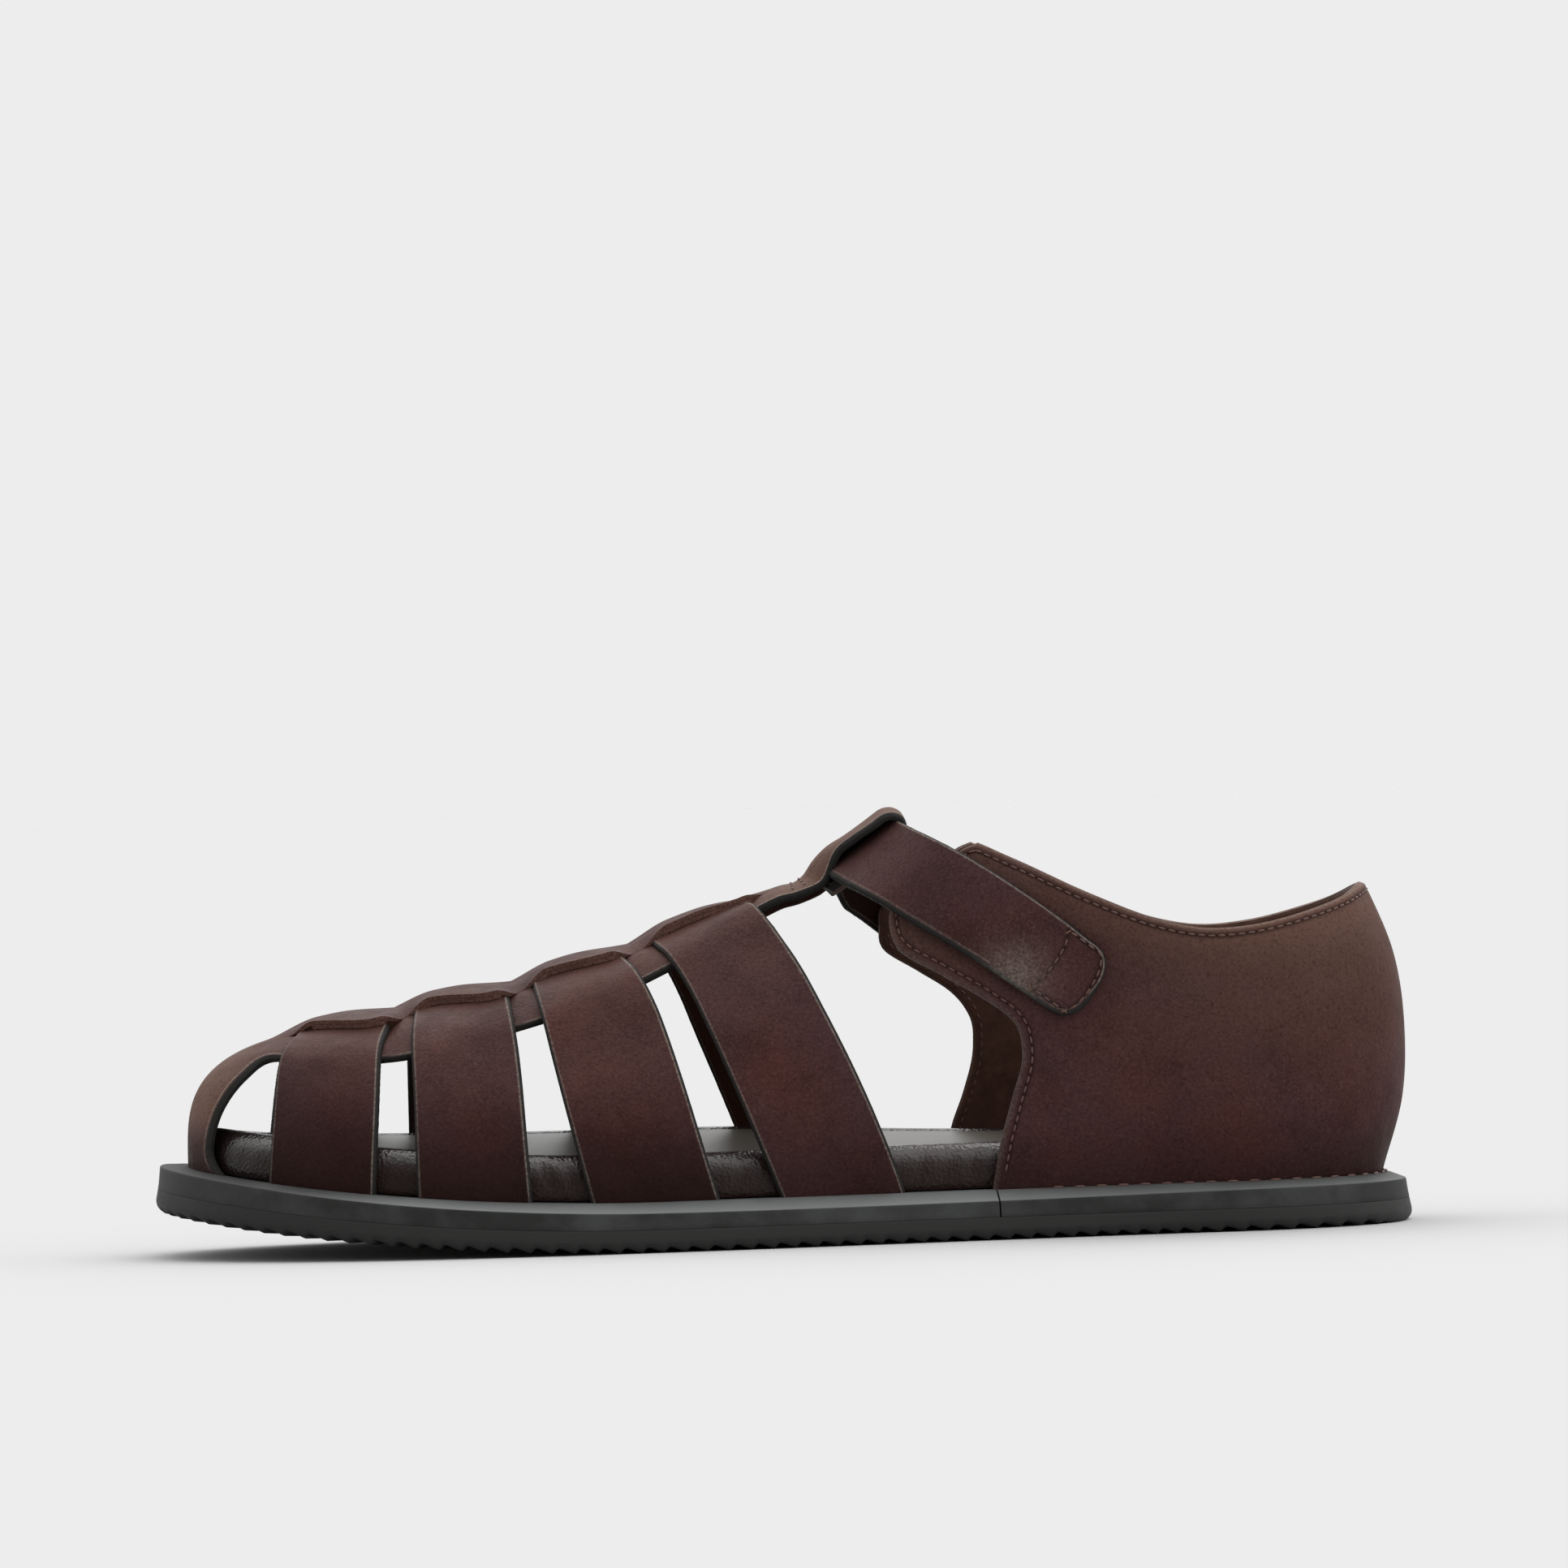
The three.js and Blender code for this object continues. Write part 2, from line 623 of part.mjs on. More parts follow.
function centreStrip() {
  const across = (v) => 2 * v - 1;
  const at = (u, v) => stripPoint(stripPlace(u), across(v));
  const lift = (u, v) => {
    const { x } = stripPlace(u);
    if (x > LOOP_STITCH_X - LOOP_SEAM) return stripLift(x);
    const margin = smooth(SLIT_SHARE - SLIT_EDGE, SLIT_SHARE + SLIT_EDGE, Math.abs(across(v)));
    return stripLift(x) * (1 - margin);
  };
  const shares = evenShares(STRIP_TOE_STEPS + STRIP_STEPS);
  const columns = STRIP_COLUMNS.map((c) => (c + 1) / 2);
  return sheetSolid(at, shares, columns, lift, (u, v) => lift(u, v) + LEATHER);
}

// The end of the strip: back under the ankle strap, and the fold that joins it to the top.
function loopSheet(fromX, toX, steps, inside, outside) {
  const at = (u, v) => stripPoint({ climb: 1, x: mix(fromX, toX, u) }, 2 * v - 1);
  return sheetSolid(at, evenShares(steps), evenShares(LOOP_COLUMNS), () => inside, () => outside);
}

function loop() {
  const top = ANKLE_ON_LOOP + ANKLE_LEATHER + ANKLE_GAP + LEATHER;
  return [
    loopSheet(LOOP_STITCH_X - LOOP_LAP, LOOP_FOLD_X + LEATHER, LOOP_STEPS, 0, LEATHER),
    loopSheet(LOOP_FOLD_X - SEAM_OVERLAP, LOOP_FOLD_X + LEATHER, 1, 0, top),
  ];
}

// Cross strap: from the welt over the strip's margin, through the slit under its middle and down
// the other side.
function crossStrap({ front, rear, lead }) {
  const edgeAt = ([foot, shoulder, ridge], u) =>
    column(
      [
        { u: 0, x: foot },
        { u: 0.25, x: shoulder },
        { u: 0.5, x: ridge },
        { u: 0.75, x: shoulder - lead * LEAD_AT_SHOULDER },
        { u: 1, x: foot - lead },
      ],
      "u",
      "x",
      u,
    );
  const at = (u, v) => lastRound(mix(edgeAt(front, u), edgeAt(rear, u), v), u * Math.PI);
  const lift = (u, v) => {
    const point = at(u, v);
    const across = point.y - lastRidge(point.x).y;
    const reach = stripReach(point.x, across);
    const aside = Math.abs(across);
    const onto = 1 - smooth(reach, reach + WEAVE_SLOPE, aside);
    const slit = reach * SLIT_SHARE - WEAVE_LAP;
    const through = smooth(slit, slit + WEAVE_SLOPE, aside);
    return onto * through * (LEATHER - SEAM_OVERLAP);
  };
  const outside = (u, v) => lift(u, v) + LEATHER;
  return sheetSolid(at, evenShares(CROSS_STEPS), evenShares(CROSS_COLUMNS), lift, outside);
}

function strapUpper() {
  return joined([centreStrip(), ...loop(), ...CROSS_STRAPS.map(crossStrap)]);
}

// Quarter: the wall round the heel, with an ear on each side that runs forward under the ankle
// strap. Its rows start on the front edge and end on the top line.
function quarter() {
  const at = (u, v) => {
    const side = u < 0.5 ? "outer" : "inner";
    const back = 1 - Math.abs(2 * u - 1);
    const frontX = column(QUARTER_FRONT, "rise", side, v * QUARTER_TOP);
    const foot = outlineAt(mix(distanceTo(frontX, side), OUTLINE.heel, back));
    const top = column(QUARTER_TOPLINE, "x", "rise", foot.x);
    const frontTop = column(QUARTER_TOPLINE, "x", "rise", frontX);
    const keep = 1 - smooth(0, QUARTER_FRONT_REACH, back);
    return lastWall(foot, v * (top + (QUARTER_TOP - frontTop) * keep));
  };
  const columns = evenShares(QUARTER_STEPS * 2);
  return sheetSolid(at, columns, evenShares(QUARTER_ROWS), () => 0, () => QUARTER_WALL);
}

// Ankle strap: straight edges seen from the side, from a sewn end on the inner ear, through the
// loop on the ridge, to a rounded tab on the outer ear.
function ankleStrap() {
  const at = (u, v) => {
    const end = u < 0.5 ? ANKLE_TAB : ANKLE_SEWN;
    const side = u < 0.5 ? "outer" : "inner";
    const far = Math.abs(2 * u - 1);
    const along = 1 - Math.cos((far * Math.PI) / 2);
    const startX = mix(ANKLE_RIDGE.low, ANKLE_RIDGE.high, v);
    const round = end.round * falloff(ANKLE_TIP.corner * (2 * v - 1), 2);
    const endX = mix(end.low.x, end.high.x, v) + ANKLE_TIP.x * round;
    const endRise = mix(end.low.rise, end.high.rise, v) + ANKLE_TIP.rise * round;
    const x = mix(startX, endX, along);
    const arch = mix(ANKLE_ARCH.low, ANKLE_ARCH.high, v) * 4 * along * (1 - along);
    const rise = mix(lastRidge(startX).height, endRise, along) + arch;
    const foot = outlineAt(distanceTo(x, side));
    return lastWall({ ...foot, x, y: lastSides(x)[side] }, rise);
  };
  const inside = (u) =>
    mix(ANKLE_ON_LOOP, ANKLE_ON_EAR, smooth(...ANKLE_EAR_SHARES, Math.abs(2 * u - 1)));
  const outside = (u) => inside(u) + ANKLE_LEATHER;
  return sheetSolid(at, evenShares(ANKLE_STEPS * 2), ANKLE_COLUMNS, inside, outside);
}

function bendToe(geometry) {
  const position = geometry.getAttribute("position");
  for (let i = 0; i < position.count; i += 1) {
    position.setZ(i, position.getZ(i) + toeSpring(position.getX(i)));
  }
  geometry.computeVertexNormals();
  return geometry;
}

const sandal = new THREE.Group();

function addPiece(name, geometry, finish) {
  const piece = new THREE.Mesh(bendToe(geometry), new THREE.MeshStandardMaterial(finish));
  piece.name = name;
  sandal.add(piece);
}

addPiece("outsole", outsole(), RUBBER);
addPiece("welt", welt(), WELT_RUBBER);
addPiece("footbed", footbed(), FOOTBED_LEATHER);
addPiece("upper_straps", strapUpper(), UPPER_LEATHER);
addPiece("heel_quarter", quarter(), UPPER_LEATHER);
addPiece("ankle_strap", ankleStrap(), UPPER_LEATHER);

// The origin lies under the middle of the whole sandal.
const middle = new THREE.Box3().setFromObject(sandal).getCenter(new THREE.Vector3());
sandal.children.forEach((piece) => piece.geometry.translate(-middle.x, -middle.y, 0));

export default sandal;
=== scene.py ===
"""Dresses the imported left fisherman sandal: leather straps, sewn quarter, footbed, rubber sole and studio.

All sizes are in millimetres in the flat shape of the sandal, before the toe is sprung up, and become
metres in the frame's own place in to_frame(). The toe points to -X, the inner side of the foot to +Y.
"""

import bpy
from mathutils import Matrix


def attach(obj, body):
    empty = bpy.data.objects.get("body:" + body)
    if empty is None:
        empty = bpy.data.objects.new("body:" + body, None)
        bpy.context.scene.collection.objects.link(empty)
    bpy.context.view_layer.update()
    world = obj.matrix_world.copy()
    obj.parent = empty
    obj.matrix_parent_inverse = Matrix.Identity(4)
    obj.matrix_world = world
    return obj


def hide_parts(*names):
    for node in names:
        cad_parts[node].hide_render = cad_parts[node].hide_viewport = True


bl_info = {
    "name": "Fisherman sandal",
    "version": (1, 0, 0),
    "blender": (4, 5, 0),
    "location": "View3D > Sidebar > Sandal",
    "description": "Leather, stitching, rubber and studio for a left fisherman sandal over its packed solids",
    "category": "Object",
}

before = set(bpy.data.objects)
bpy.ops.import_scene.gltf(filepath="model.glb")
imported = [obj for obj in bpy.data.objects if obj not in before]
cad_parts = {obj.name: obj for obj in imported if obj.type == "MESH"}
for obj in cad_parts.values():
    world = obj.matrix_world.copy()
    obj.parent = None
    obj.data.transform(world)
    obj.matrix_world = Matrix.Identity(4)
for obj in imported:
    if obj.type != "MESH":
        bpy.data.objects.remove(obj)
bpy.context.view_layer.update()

import math

import bpy
import numpy as np
from bpy.props import FloatProperty, FloatVectorProperty, PointerProperty
from mathutils import Matrix
from mathutils.kdtree import KDTree

MM = 0.001
# The middle of the packed sandal, which the frame's origin lies under.
FRAME_SHIFT = (-0.4, 0.5)

# Sole stack: heights above the ground.
WELT_BASE, WELT_TOP, LEDGE, FOOTBED_TOP = 5.3, 11.3, 11.6, 22.0

# The last from above: toe, ball, seat and heel, then x, reach to the outer side, reach to the inner side.
TOE_X, BALL_X, SEAT_X, HEEL_X = -136.1, -55.0, 98.0, 136.9
TOE_SHIFT, TOE_ROUNDNESS, HEEL_ROUNDNESS = 5.0, 2.35, 2.2
LAST_WIDTHS = ((BALL_X, 45, 44), (-20, 43, 40), (20, 37.5, 33), (55, 32.5, 30), (SEAT_X, 28.5, 28.5))

# The last's ridge: x, height over the ledge, sideways place, fullness of the section.
TOE_ARC_X, TOE_ARC_POWER = -105.0, 3.5
LAST_RIDGE = (
    (TOE_X, 24.4, 5, 2.2), (TOE_ARC_X, 34.2, 4.5, 2.1), (-88, 39.5, 4, 1.95), (-60, 47.2, 3.5, 1.85),
    (-32, 56.3, 3.5, 1.8), (-2, 66, 3, 1.85), (8, 67.9, 3, 1.9), (16, 71.5, 3, 1.95), (28, 79.9, 2.5, 2),
    (45, 95.5, 1.5, 2.2), (60, 109, 1, 2.3), (100, 140, 0, 2.4), (HEEL_X, 150, 0, 2.4),
)
# How far the heel swells behind its outline: height, reach.
HEEL_BACK = ((0, 0), (18, 5.4), (32, 6.3), (50, 4.3), (68, -2.6))
HEEL_BULGE_FROM = 60.0

# Toe spring of the whole sandal.
SPRING_START_X, SPRING_RISE, SPRING_POWER, SOLE_TOE_X = -28.0, 11.0, 1.9, -146.0

# Saw teeth round the sole's lower edge.
TEETH, STEPS_PER_TOOTH, TOOTH_DEPTH, TOOTH_PEAK, TEETH_END_X, TEETH_FADE = 126, 8, 1.25, 0.28, 134.0, 4.0
# Under this height the teeth cut into the edge, down to a share of it; their cuts get painted shade.
TOOTH_TOP, TOOTH_LEVEL, TOOTH_SHADE = 1.6, 0.6, 0.55
# Ribs under the sole: the x they lie between, their height, radius, and the least width that takes one.
RIBS_X, RIB_HEIGHT, RIB_RADIUS, RIB_LEAST, RIB_POINTS = (-134.0, 138.0), 1.25, 1.15, 8.0, 9
# How far the welt's bevelled edge drops: x, drop. Its ends butt at the joint.
WELT_DROP = ((TOE_X, 0.7), (-100, 1.4), (-60, 1.9), (-10, 2.4), (50, 2.3), (HEEL_X, 1.5))
WELT_JOINT_X, WELT_JOINT_GAP, WELT_STEPS = 48.8, 0.4, 900
# The rubber darkens towards the toe, as far as this x.
TOE_SHADE, TOE_SHADE_X = 0.55, -75.0

# Footbed: points round it and across its top, and its inner swell: y across the arch, then x, rise.
FOOTBED_AROUND, FOOTBED_ACROSS, ARCH_ACROSS = 1000, 24, (-20.0, 36.0)
ARCH_RISE = ((TOE_X, -2), (-80, 1.4), (-40, 3.2), (-10, 3.3), (40, 1.6), (HEEL_X, 0))
# Puckers pressed into the rolled edge on the outer side: x, lean, depth.
PUCKERS = (
    (-123, 0.3, 0.35), (-90, 0.7, 0.5), (-86, 0.4, 0.4), (-53, -0.6, 0.5), (-48, -0.3, 0.45),
    (-45, 0.5, 0.35), (-9, 0.5, 0.5), (-4, 0.8, 0.4), (32, 0.4, 0.45), (38, 0.7, 0.4), (44, 0.2, 0.35),
)
PUCKER_WIDTH, PUCKER_ROOT, PUCKER_LEVEL, PUCKER_HEIGHT = 1.5, 17.0, 18.0, 3.2
# Polish of the sock on the top, and the heights between which the rolled edge's crown gets its own.
SOCK_POLISH, CROWN_FROM, CROWN_TO = 0.4, 17.0, 20.5

# Centre strip: x, reach to the outer side, reach to the inner side.
STRIP_WIDTHS = (
    (TOE_X, 20.8, 16), (-131, 20.6, 15), (-125, 19.4, 15), (-119.5, 17.6, 15), (-111, 24, 18.5),
    (-90, 29.6, 23), (-58, 27, 21), (-28, 21.5, 17), (-14, 17, 14.5), (-4, 11.4, 11.2), (6, 9, 9),
    (30, 9.5, 9.5),
)
# The strip's foot spreads on the welt: spread to each side, and the height over which it does.
STRIP_FLARE, FLARE_RISE = 4.2, 10.0
# How far out the slits lie along the strip: x, share of its reach.
SLIT_SHARES = (
    (-112, 0.34), (-88.5, 0.57), (-83.5, 0.43), (-61, 0.55), (-55.5, 0.43), (-33, 0.5), (-27, 0.42),
    (-2, 0.4),
)
# The strip's edges rise over its middle at the loop's fold and hang below it at the foot of the ramp.
LOOP_CROWN, LOOP_SAG = (0.8, 3.0), 2.4
# The loop, from its first stitch over the fold and back: x of its start, ramp, fold and end, and its rows.
LOOP_START_X, LOOP_RAMP_X, LOOP_FOLD_X, LOOP_END_X = 2.5, 11.4, 29.3, 11.6
LOOP_TOP, LOOP_ROWS, LOOP_BACK_ROWS, LOOP_STITCHES_X = 6.6, 60, 30, (5.4, 8.0)
# The lift of the strip's middle over the last: x, lift.
LOOP_RISE = (
    (-9, 1.0), (-1, 2.2), (LOOP_START_X, 2.8), (6, 2.9), (9, 3.7), (13, 6.0), (17, 7.2), (22, 7.0),
    (LOOP_FOLD_X, LOOP_TOP),
)
# A strap pushes the strip's middle up by this much more than its thickness, and lies this deep in its margin.
STRIP_PLAY, LIP_PLAY, MARGIN_DIP = 0.35, 0.75, 0.6

# Cross straps: front edge and rear edge at foot, shoulder and ridge, and the lead of the inner foot.
CROSS_STRAPS = (
    ((-116.6, -114.2, -110.0), (-92.3, -90.6, -88.2), 4.2),
    ((-82.7, -83.3, -83.6), (-56.6, -59.0, -62.5), 5.4),
    ((-43.4, -52.0, -56.5), (-14.0, -25.8, -36.5), 2.8),
    ((-0.2, -17.3, -29.5), (28.2, 8.5, -6.0), 5.6),
)
# Painted shade at the foot of each cross strap, darkest at the welt: strength, height.
STRAP_FOOT_SHADE = ((0.95, 38), (0.95, 32), (0.95, 30), (0.6, 27))

# Quarter: front edge by height, outer and inner side, and the topline by x.
QUARTER_TOP = 78.4
QUARTER_FRONT = (
    (0, 48.3, 39), (12, 51, 40.5), (20, 53.4, 43.5), (31, 56.2, 46.2), (38, 54.3, 45.5), (44, 46.5, 41),
    (49, 38, 33.5), (54, 29.6, 25.9), (59, 27.4, 25.2), (64, 28.4, 26.2), (70, 36.6, 34.5), (75, 43, 42),
    (77.4, 45.6, 45), (78.4, 48.4, 47.5),
)
QUARTER_TOPLINE = (
    (24, 78.4), (44.6, 78.2), (55.7, 73.5), (74.1, 65.1), (88.9, 59.6), (100, 57.5), (111, 58), (122, 60.5),
    (131, 63.5), (HEEL_X, 66.4),
)
QUARTER_FRONT_REACH = 0.55
# The row of stitches on the welt: x of its outer and inner end, reach, points.
WELT_ROW = (63.0, 52.0, 4.1, 500)
# How deep the thread pulls into the leather, and the steps along a sewn line.
STITCH_SINK, SEAM_STEP = 0.12, 0.6

# Ankle strap: where its lower and upper edge cross the ridge and end on each ear.
ANKLE_LIFT_LOOP, ANKLE_LIFT_EAR, ANKLE_EAR_SHARES = 2.5, 3.5, (0.27, 0.47)
ANKLE_RIDGE = (13.4, 31.2)
ANKLE_TAB = ((62.2, 40.0), (72.8, 55.2), 7.0)
ANKLE_SEWN = ((49, 40), (60.5, 58), 0.0)
ANKLE_SAG = 4.8
ANKLE_ARCH, ANKLE_TIP = (1.6, 1.9), (0.84, -0.54, 2.5)
# Both ends press into the ear; on each a box is sewn, from and to a share of the strap's way.
ANKLE_SINK, ANKLE_BOXES, ANKLE_BOX_SIDES = 0.35, ((0.0078, 0.058), (0.0078, 0.07)), (0.085, 0.915)
# A painted highlight on the tab: x, height, radius, strength.
TAB_HIGHLIGHT = (55.0, 60.0, 7.0, 0.42)

# Camera, measured from the photograph: place, roll, lens and sensor. It sees as far as CLIP_END metres,
# and the floor reaches FLOOR_REACH metres to each side.
CAMERA_PLACE, CAMERA_ROLL, CAMERA_LENS = (3.2, -2199.5, 105.7), 1.8, 216.86
SENSOR, CLIP_END, FLOOR_REACH = 36.0, 200.0, 40.0


def linear(code):
    """An sRGB hex colour as linear red, green, blue and alpha."""
    parts = [int(code[i : i + 2], 16) / 255 for i in (1, 3, 5)]
    return tuple(c / 12.92 if c <= 0.04045 else ((c + 0.055) / 1.055) ** 2.4 for c in parts) + (1.0,)


def colour(name, description, code):
    """A colour property with an sRGB default."""
    return FloatVectorProperty(
        name=name, description=description, subtype="COLOR", size=4, min=0, max=1, default=linear(code)
    )


def length(name, description, millimetres):
    """A length property with a default in millimetres."""
    return FloatProperty(
        name=name, description=description, default=millimetres * MM, min=0, subtype="DISTANCE", unit="LENGTH"
    )


class SandalSizes(bpy.types.PropertyGroup):
    leather: length("Strap leather", "Thickness of the straps and the centre strip", 2.0)
    quarter_wall: length("Quarter wall", "Thickness of the lined quarter", 3.0)
    ankle_leather: length("Ankle strap", "Thickness of the ankle strap", 2.2)
    edge_round: length("Edge rounding", "Radius of the painted leather edges", 0.65)
    stitch_pitch: length("Stitch pitch", "Distance from stitch to stitch on the upper", 2.3)
    stitch_inset: length("Stitch inset", "Distance from an edge to its row of stitches", 2.1)
    thread_width: length("Thread width", "Width of the sewing thread", 0.55)
    welt_pitch: length("Welt pitch", "Distance from stitch to stitch on the welt", 5.0)
    rib_pitch: length("Rib pitch", "Distance from rib to rib under the sole", 4.9)


class SandalColours(bpy.types.PropertyGroup):
    leather: colour("Leather", "Dark brown ground of the leather", "#422d2d")
    burnish: colour("Burnish", "Mahogany where the leather was burnished", "#4f2d29")
    # Wax bloom, and painted sheen on the faces that look up and on the marked places.
    dust: colour("Bloom", "Greyer wax bloom on faces that look up", "#634a3f")
    # Dark dye in clouds, and painted shade towards the welt, in grooves, under the slits and on the backs.
    shade: colour("Dark dye", "Darker dye near the welt", "#1e100d")
    edge: colour("Edge paint", "Paint on cut edges", "#272625")
    # A painted highlight on the arris beside the painted edges, and on the tab.
    arris: colour("Arris", "Worn line between a face and its painted edge", "#9a9187")
    raw: colour("Raw edge", "Fibres on the cut edges of the slits", "#664a42")
    lining: colour("Lining", "Suede inside the quarter", "#54372b")
    thread: colour("Thread", "Waxed sewing thread", "#623f31")
    footbed: colour("Footbed", "Pebbled leather on the footbed's edge", "#261a18")
    footbed_top: colour("Footbed top", "Smooth sock on the footbed", "#5a554e")
    # Painted shade in the footbed's crease and on its edge towards the toe.
    crease: colour("Crease", "Dark between the footbed's edge and its top", "#141110")
    rubber: colour("Rubber", "Charcoal rubber of the sole", "#262625")
    rubber_scuff: colour("Scuffed rubber", "Dusty skin of the sole", "#343433")
    welt: colour("Welt", "Charcoal rubber of the welt", "#252524")
    # A dusty scuff in patches, and a painted highlight on the welt's bevel.
    welt_scuff: colour("Scuffed welt", "Dusty bevel of the welt", "#747676")
    # Painted shade in the cuts of the teeth, on the welt's wall and towards the toe.
    grime: colour("Grime", "Dark of the rubber's cuts and toe", "#161616")
    floor: colour("Floor", "Pale studio floor", "#c0c0c0")
    backdrop: colour("Backdrop", "Pale studio wall", "#ededed")


def mix(a, b, share):
    return a + (b - a) * share


def smooth(start, end, value):
    share = np.clip((np.asarray(value, float) - start) / (end - start), 0, 1)
    return share * share * (3 - 2 * share)


def falloff(share, power):
    return np.maximum(0, 1 - np.minimum(np.abs(share), 1) ** power) ** (1 / power)


def column(rows, key, at, level=False):
    """One column of a table by its first, along a smooth curve through the rows."""
    table = np.asarray(rows, float)
    xs, ys = table[:, 0], table[:, key]
    at = np.clip(np.asarray(at, float), xs[0], xs[-1])
    span = np.diff(xs)
    slope = np.diff(ys) / span
    tangent = np.empty(len(xs))
    tangent[1:-1] = (slope[:-1] * span[1:] + slope[1:] * span[:-1]) / (span[:-1] + span[1:])
    tangent[0], tangent[-1] = (0, 0) if level else (slope[0], slope[-1])
    i = np.clip(np.searchsorted(xs, at, side="left") - 1, 0, len(xs) - 2)
    t = (at - xs[i]) / span[i]
    ends = (1 + 2 * t) * (1 - t) ** 2 * ys[i] + t * t * (3 - 2 * t) * ys[i + 1]
    return ends + t * (1 - t) ** 2 * span[i] * tangent[i] + t * t * (t - 1) * span[i] * tangent[i + 1]


def toe_spring(x):
    ahead = np.maximum(0, SPRING_START_X - np.asarray(x, float))
    return SPRING_RISE * (ahead / (SPRING_START_X - SOLE_TOE_X)) ** SPRING_POWER


def to_frame(points):
    """Flat millimetres to the frame's metres, with the toe sprung up."""
    moved = np.array(points, float)
    moved[..., 2] += toe_spring(moved[..., 0])
    moved[..., :2] += FRAME_SHIFT
    return moved * MM


def last_sides(x):
    """The y of the last's outer and inner side at an x."""
    x = np.asarray(x, float)
    toe = np.clip((BALL_X - x) / (BALL_X - TOE_X), 0, 1)
    heel = np.clip((x - SEAT_X) / (HEEL_X - SEAT_X), 0, 1)
    share = falloff(toe, TOE_ROUNDNESS) * falloff(heel, HEEL_ROUNDNESS)
    shift = TOE_SHIFT * toe * toe
    return (
        shift - column(LAST_WIDTHS, 1, x, True) * share,
        shift + column(LAST_WIDTHS, 2, x, True) * share,
    )


def last_ridge(x):
    """Height, sideways place and fullness of the last's ridge."""
    ahead = np.maximum(0, (TOE_ARC_X - np.asarray(x, float)) / (TOE_ARC_X - TOE_X))
    height = column(LAST_RIDGE, 1, x) * falloff(ahead, TOE_ARC_POWER)
    return height, column(LAST_RIDGE, 2, x), column(LAST_RIDGE, 3, x)


def last_round(x, angle):
    """Points on the last's section at an x, from the outer side over the ridge to the inner side."""
    outer, inner = last_sides(x)
    height, y, fullness = last_ridge(x)
    side = np.where(angle < math.pi / 2, outer, inner)
    across = mix(y, side, np.abs(np.cos(angle)) ** (2 / fullness))
    rise = height * np.maximum(0, np.sin(angle)) ** (2 / fullness)
    return np.stack(np.broadcast_arrays(x, across, LEDGE + rise), -1)


def last_over(x, y):
    """Points on the last above x and y."""
    outer, inner = last_sides(x)
    height, ridge_y, fullness = last_ridge(x)
    side = np.where(y < ridge_y, outer, inner)
    rise = height * falloff((y - ridge_y) / np.where(side == ridge_y, 1, side - ridge_y), fullness)
    return np.stack(np.broadcast_arrays(x, y, LEDGE + rise), -1)


OUTLINE_HALF = 500


def trace_outline():
    """The last's outline from the toe by the outer side to the heel and back: points, tangents, distances."""
    half = (HEEL_X - TOE_X) / 2
    i = np.arange(2 * OUTLINE_HALF + 1)
    x = TOE_X + half - half * np.cos(i / OUTLINE_HALF * math.pi)
    outer, inner = last_sides(x)
    points = np.stack([x, np.where(i <= OUTLINE_HALF, outer, inner)], -1)
    points[-1] = points[0]
    ahead, behind = np.roll(points[:-1], -1, 0), np.roll(points[:-1], 1, 0)
    tangents = (ahead - behind) / np.linalg.norm(ahead - behind, axis=1)[:, None]
    steps = np.linalg.norm(np.diff(points, axis=0), axis=1)
    return points, np.vstack([tangents, tangents[:1]]), np.r_[0, np.cumsum(steps)]


OUTLINE_POINTS, OUTLINE_TANGENTS, OUTLINE_WALK = trace_outline()
OUTLINE_LENGTH = OUTLINE_WALK[-1]
OUTLINE_HEEL = OUTLINE_WALK[OUTLINE_HALF]


def outline(distance):
    """Place and outward direction of the outline at a distance walked from the toe."""
    at = np.mod(distance, OUTLINE_LENGTH)
    x, y = (np.interp(at, OUTLINE_WALK, OUTLINE_POINTS[:, k]) for k in (0, 1))
    along_x, along_y = (np.interp(at, OUTLINE_WALK, OUTLINE_TANGENTS[:, k]) for k in (0, 1))
    norm = np.hypot(along_x, along_y)
    return x, y, along_y / norm, -along_x / norm


def beside(place, reach, height):
    """Points at a reach beside places of the outline, and at a height."""
    x, y, out_x, out_y = place
    return np.stack(np.broadcast_arrays(x + out_x * reach, y + out_y * reach, height), -1)


def distance_to(x, inner):
    """Distance walked from the toe to an x on one side."""
    turn = np.arccos(np.clip(1 - 2 * (np.asarray(x, float) - TOE_X) / (HEEL_X - TOE_X), -1, 1)) / math.pi
    place = np.where(inner, 2 - turn, turn) * OUTLINE_HALF
    return np.interp(place, np.arange(2 * OUTLINE_HALF + 1), OUTLINE_WALK)


def last_wall(x, y, out_x, out_y, rise):
    """Points on the last's side wall over a place of its outline."""
    height, ridge_y, fullness = last_ridge(x)
    lean = falloff(rise / height, fullness)
    bulge = column(HEEL_BACK, 1, rise) * smooth(HEEL_BULGE_FROM, HEEL_X, x)
    y = mix(ridge_y, y, lean) + out_y * bulge
    return np.stack(np.broadcast_arrays(x + out_x * bulge, y, LEDGE + rise), -1)


def facing(points, cuts=()):
    """Unit normals of a grid of points, worked out apart on each side of its cut columns."""
    normal = np.empty_like(points)
    edges = [0, *cuts, points.shape[1]]
    for a, b in zip(edges[:-1], edges[1:]):
        part = points[:, a:b]
        normal[:, a:b] = np.cross(np.gradient(part, axis=0), np.gradient(part, axis=1))
    return normal / np.maximum(np.linalg.norm(normal, axis=-1, keepdims=True), 1e-12)


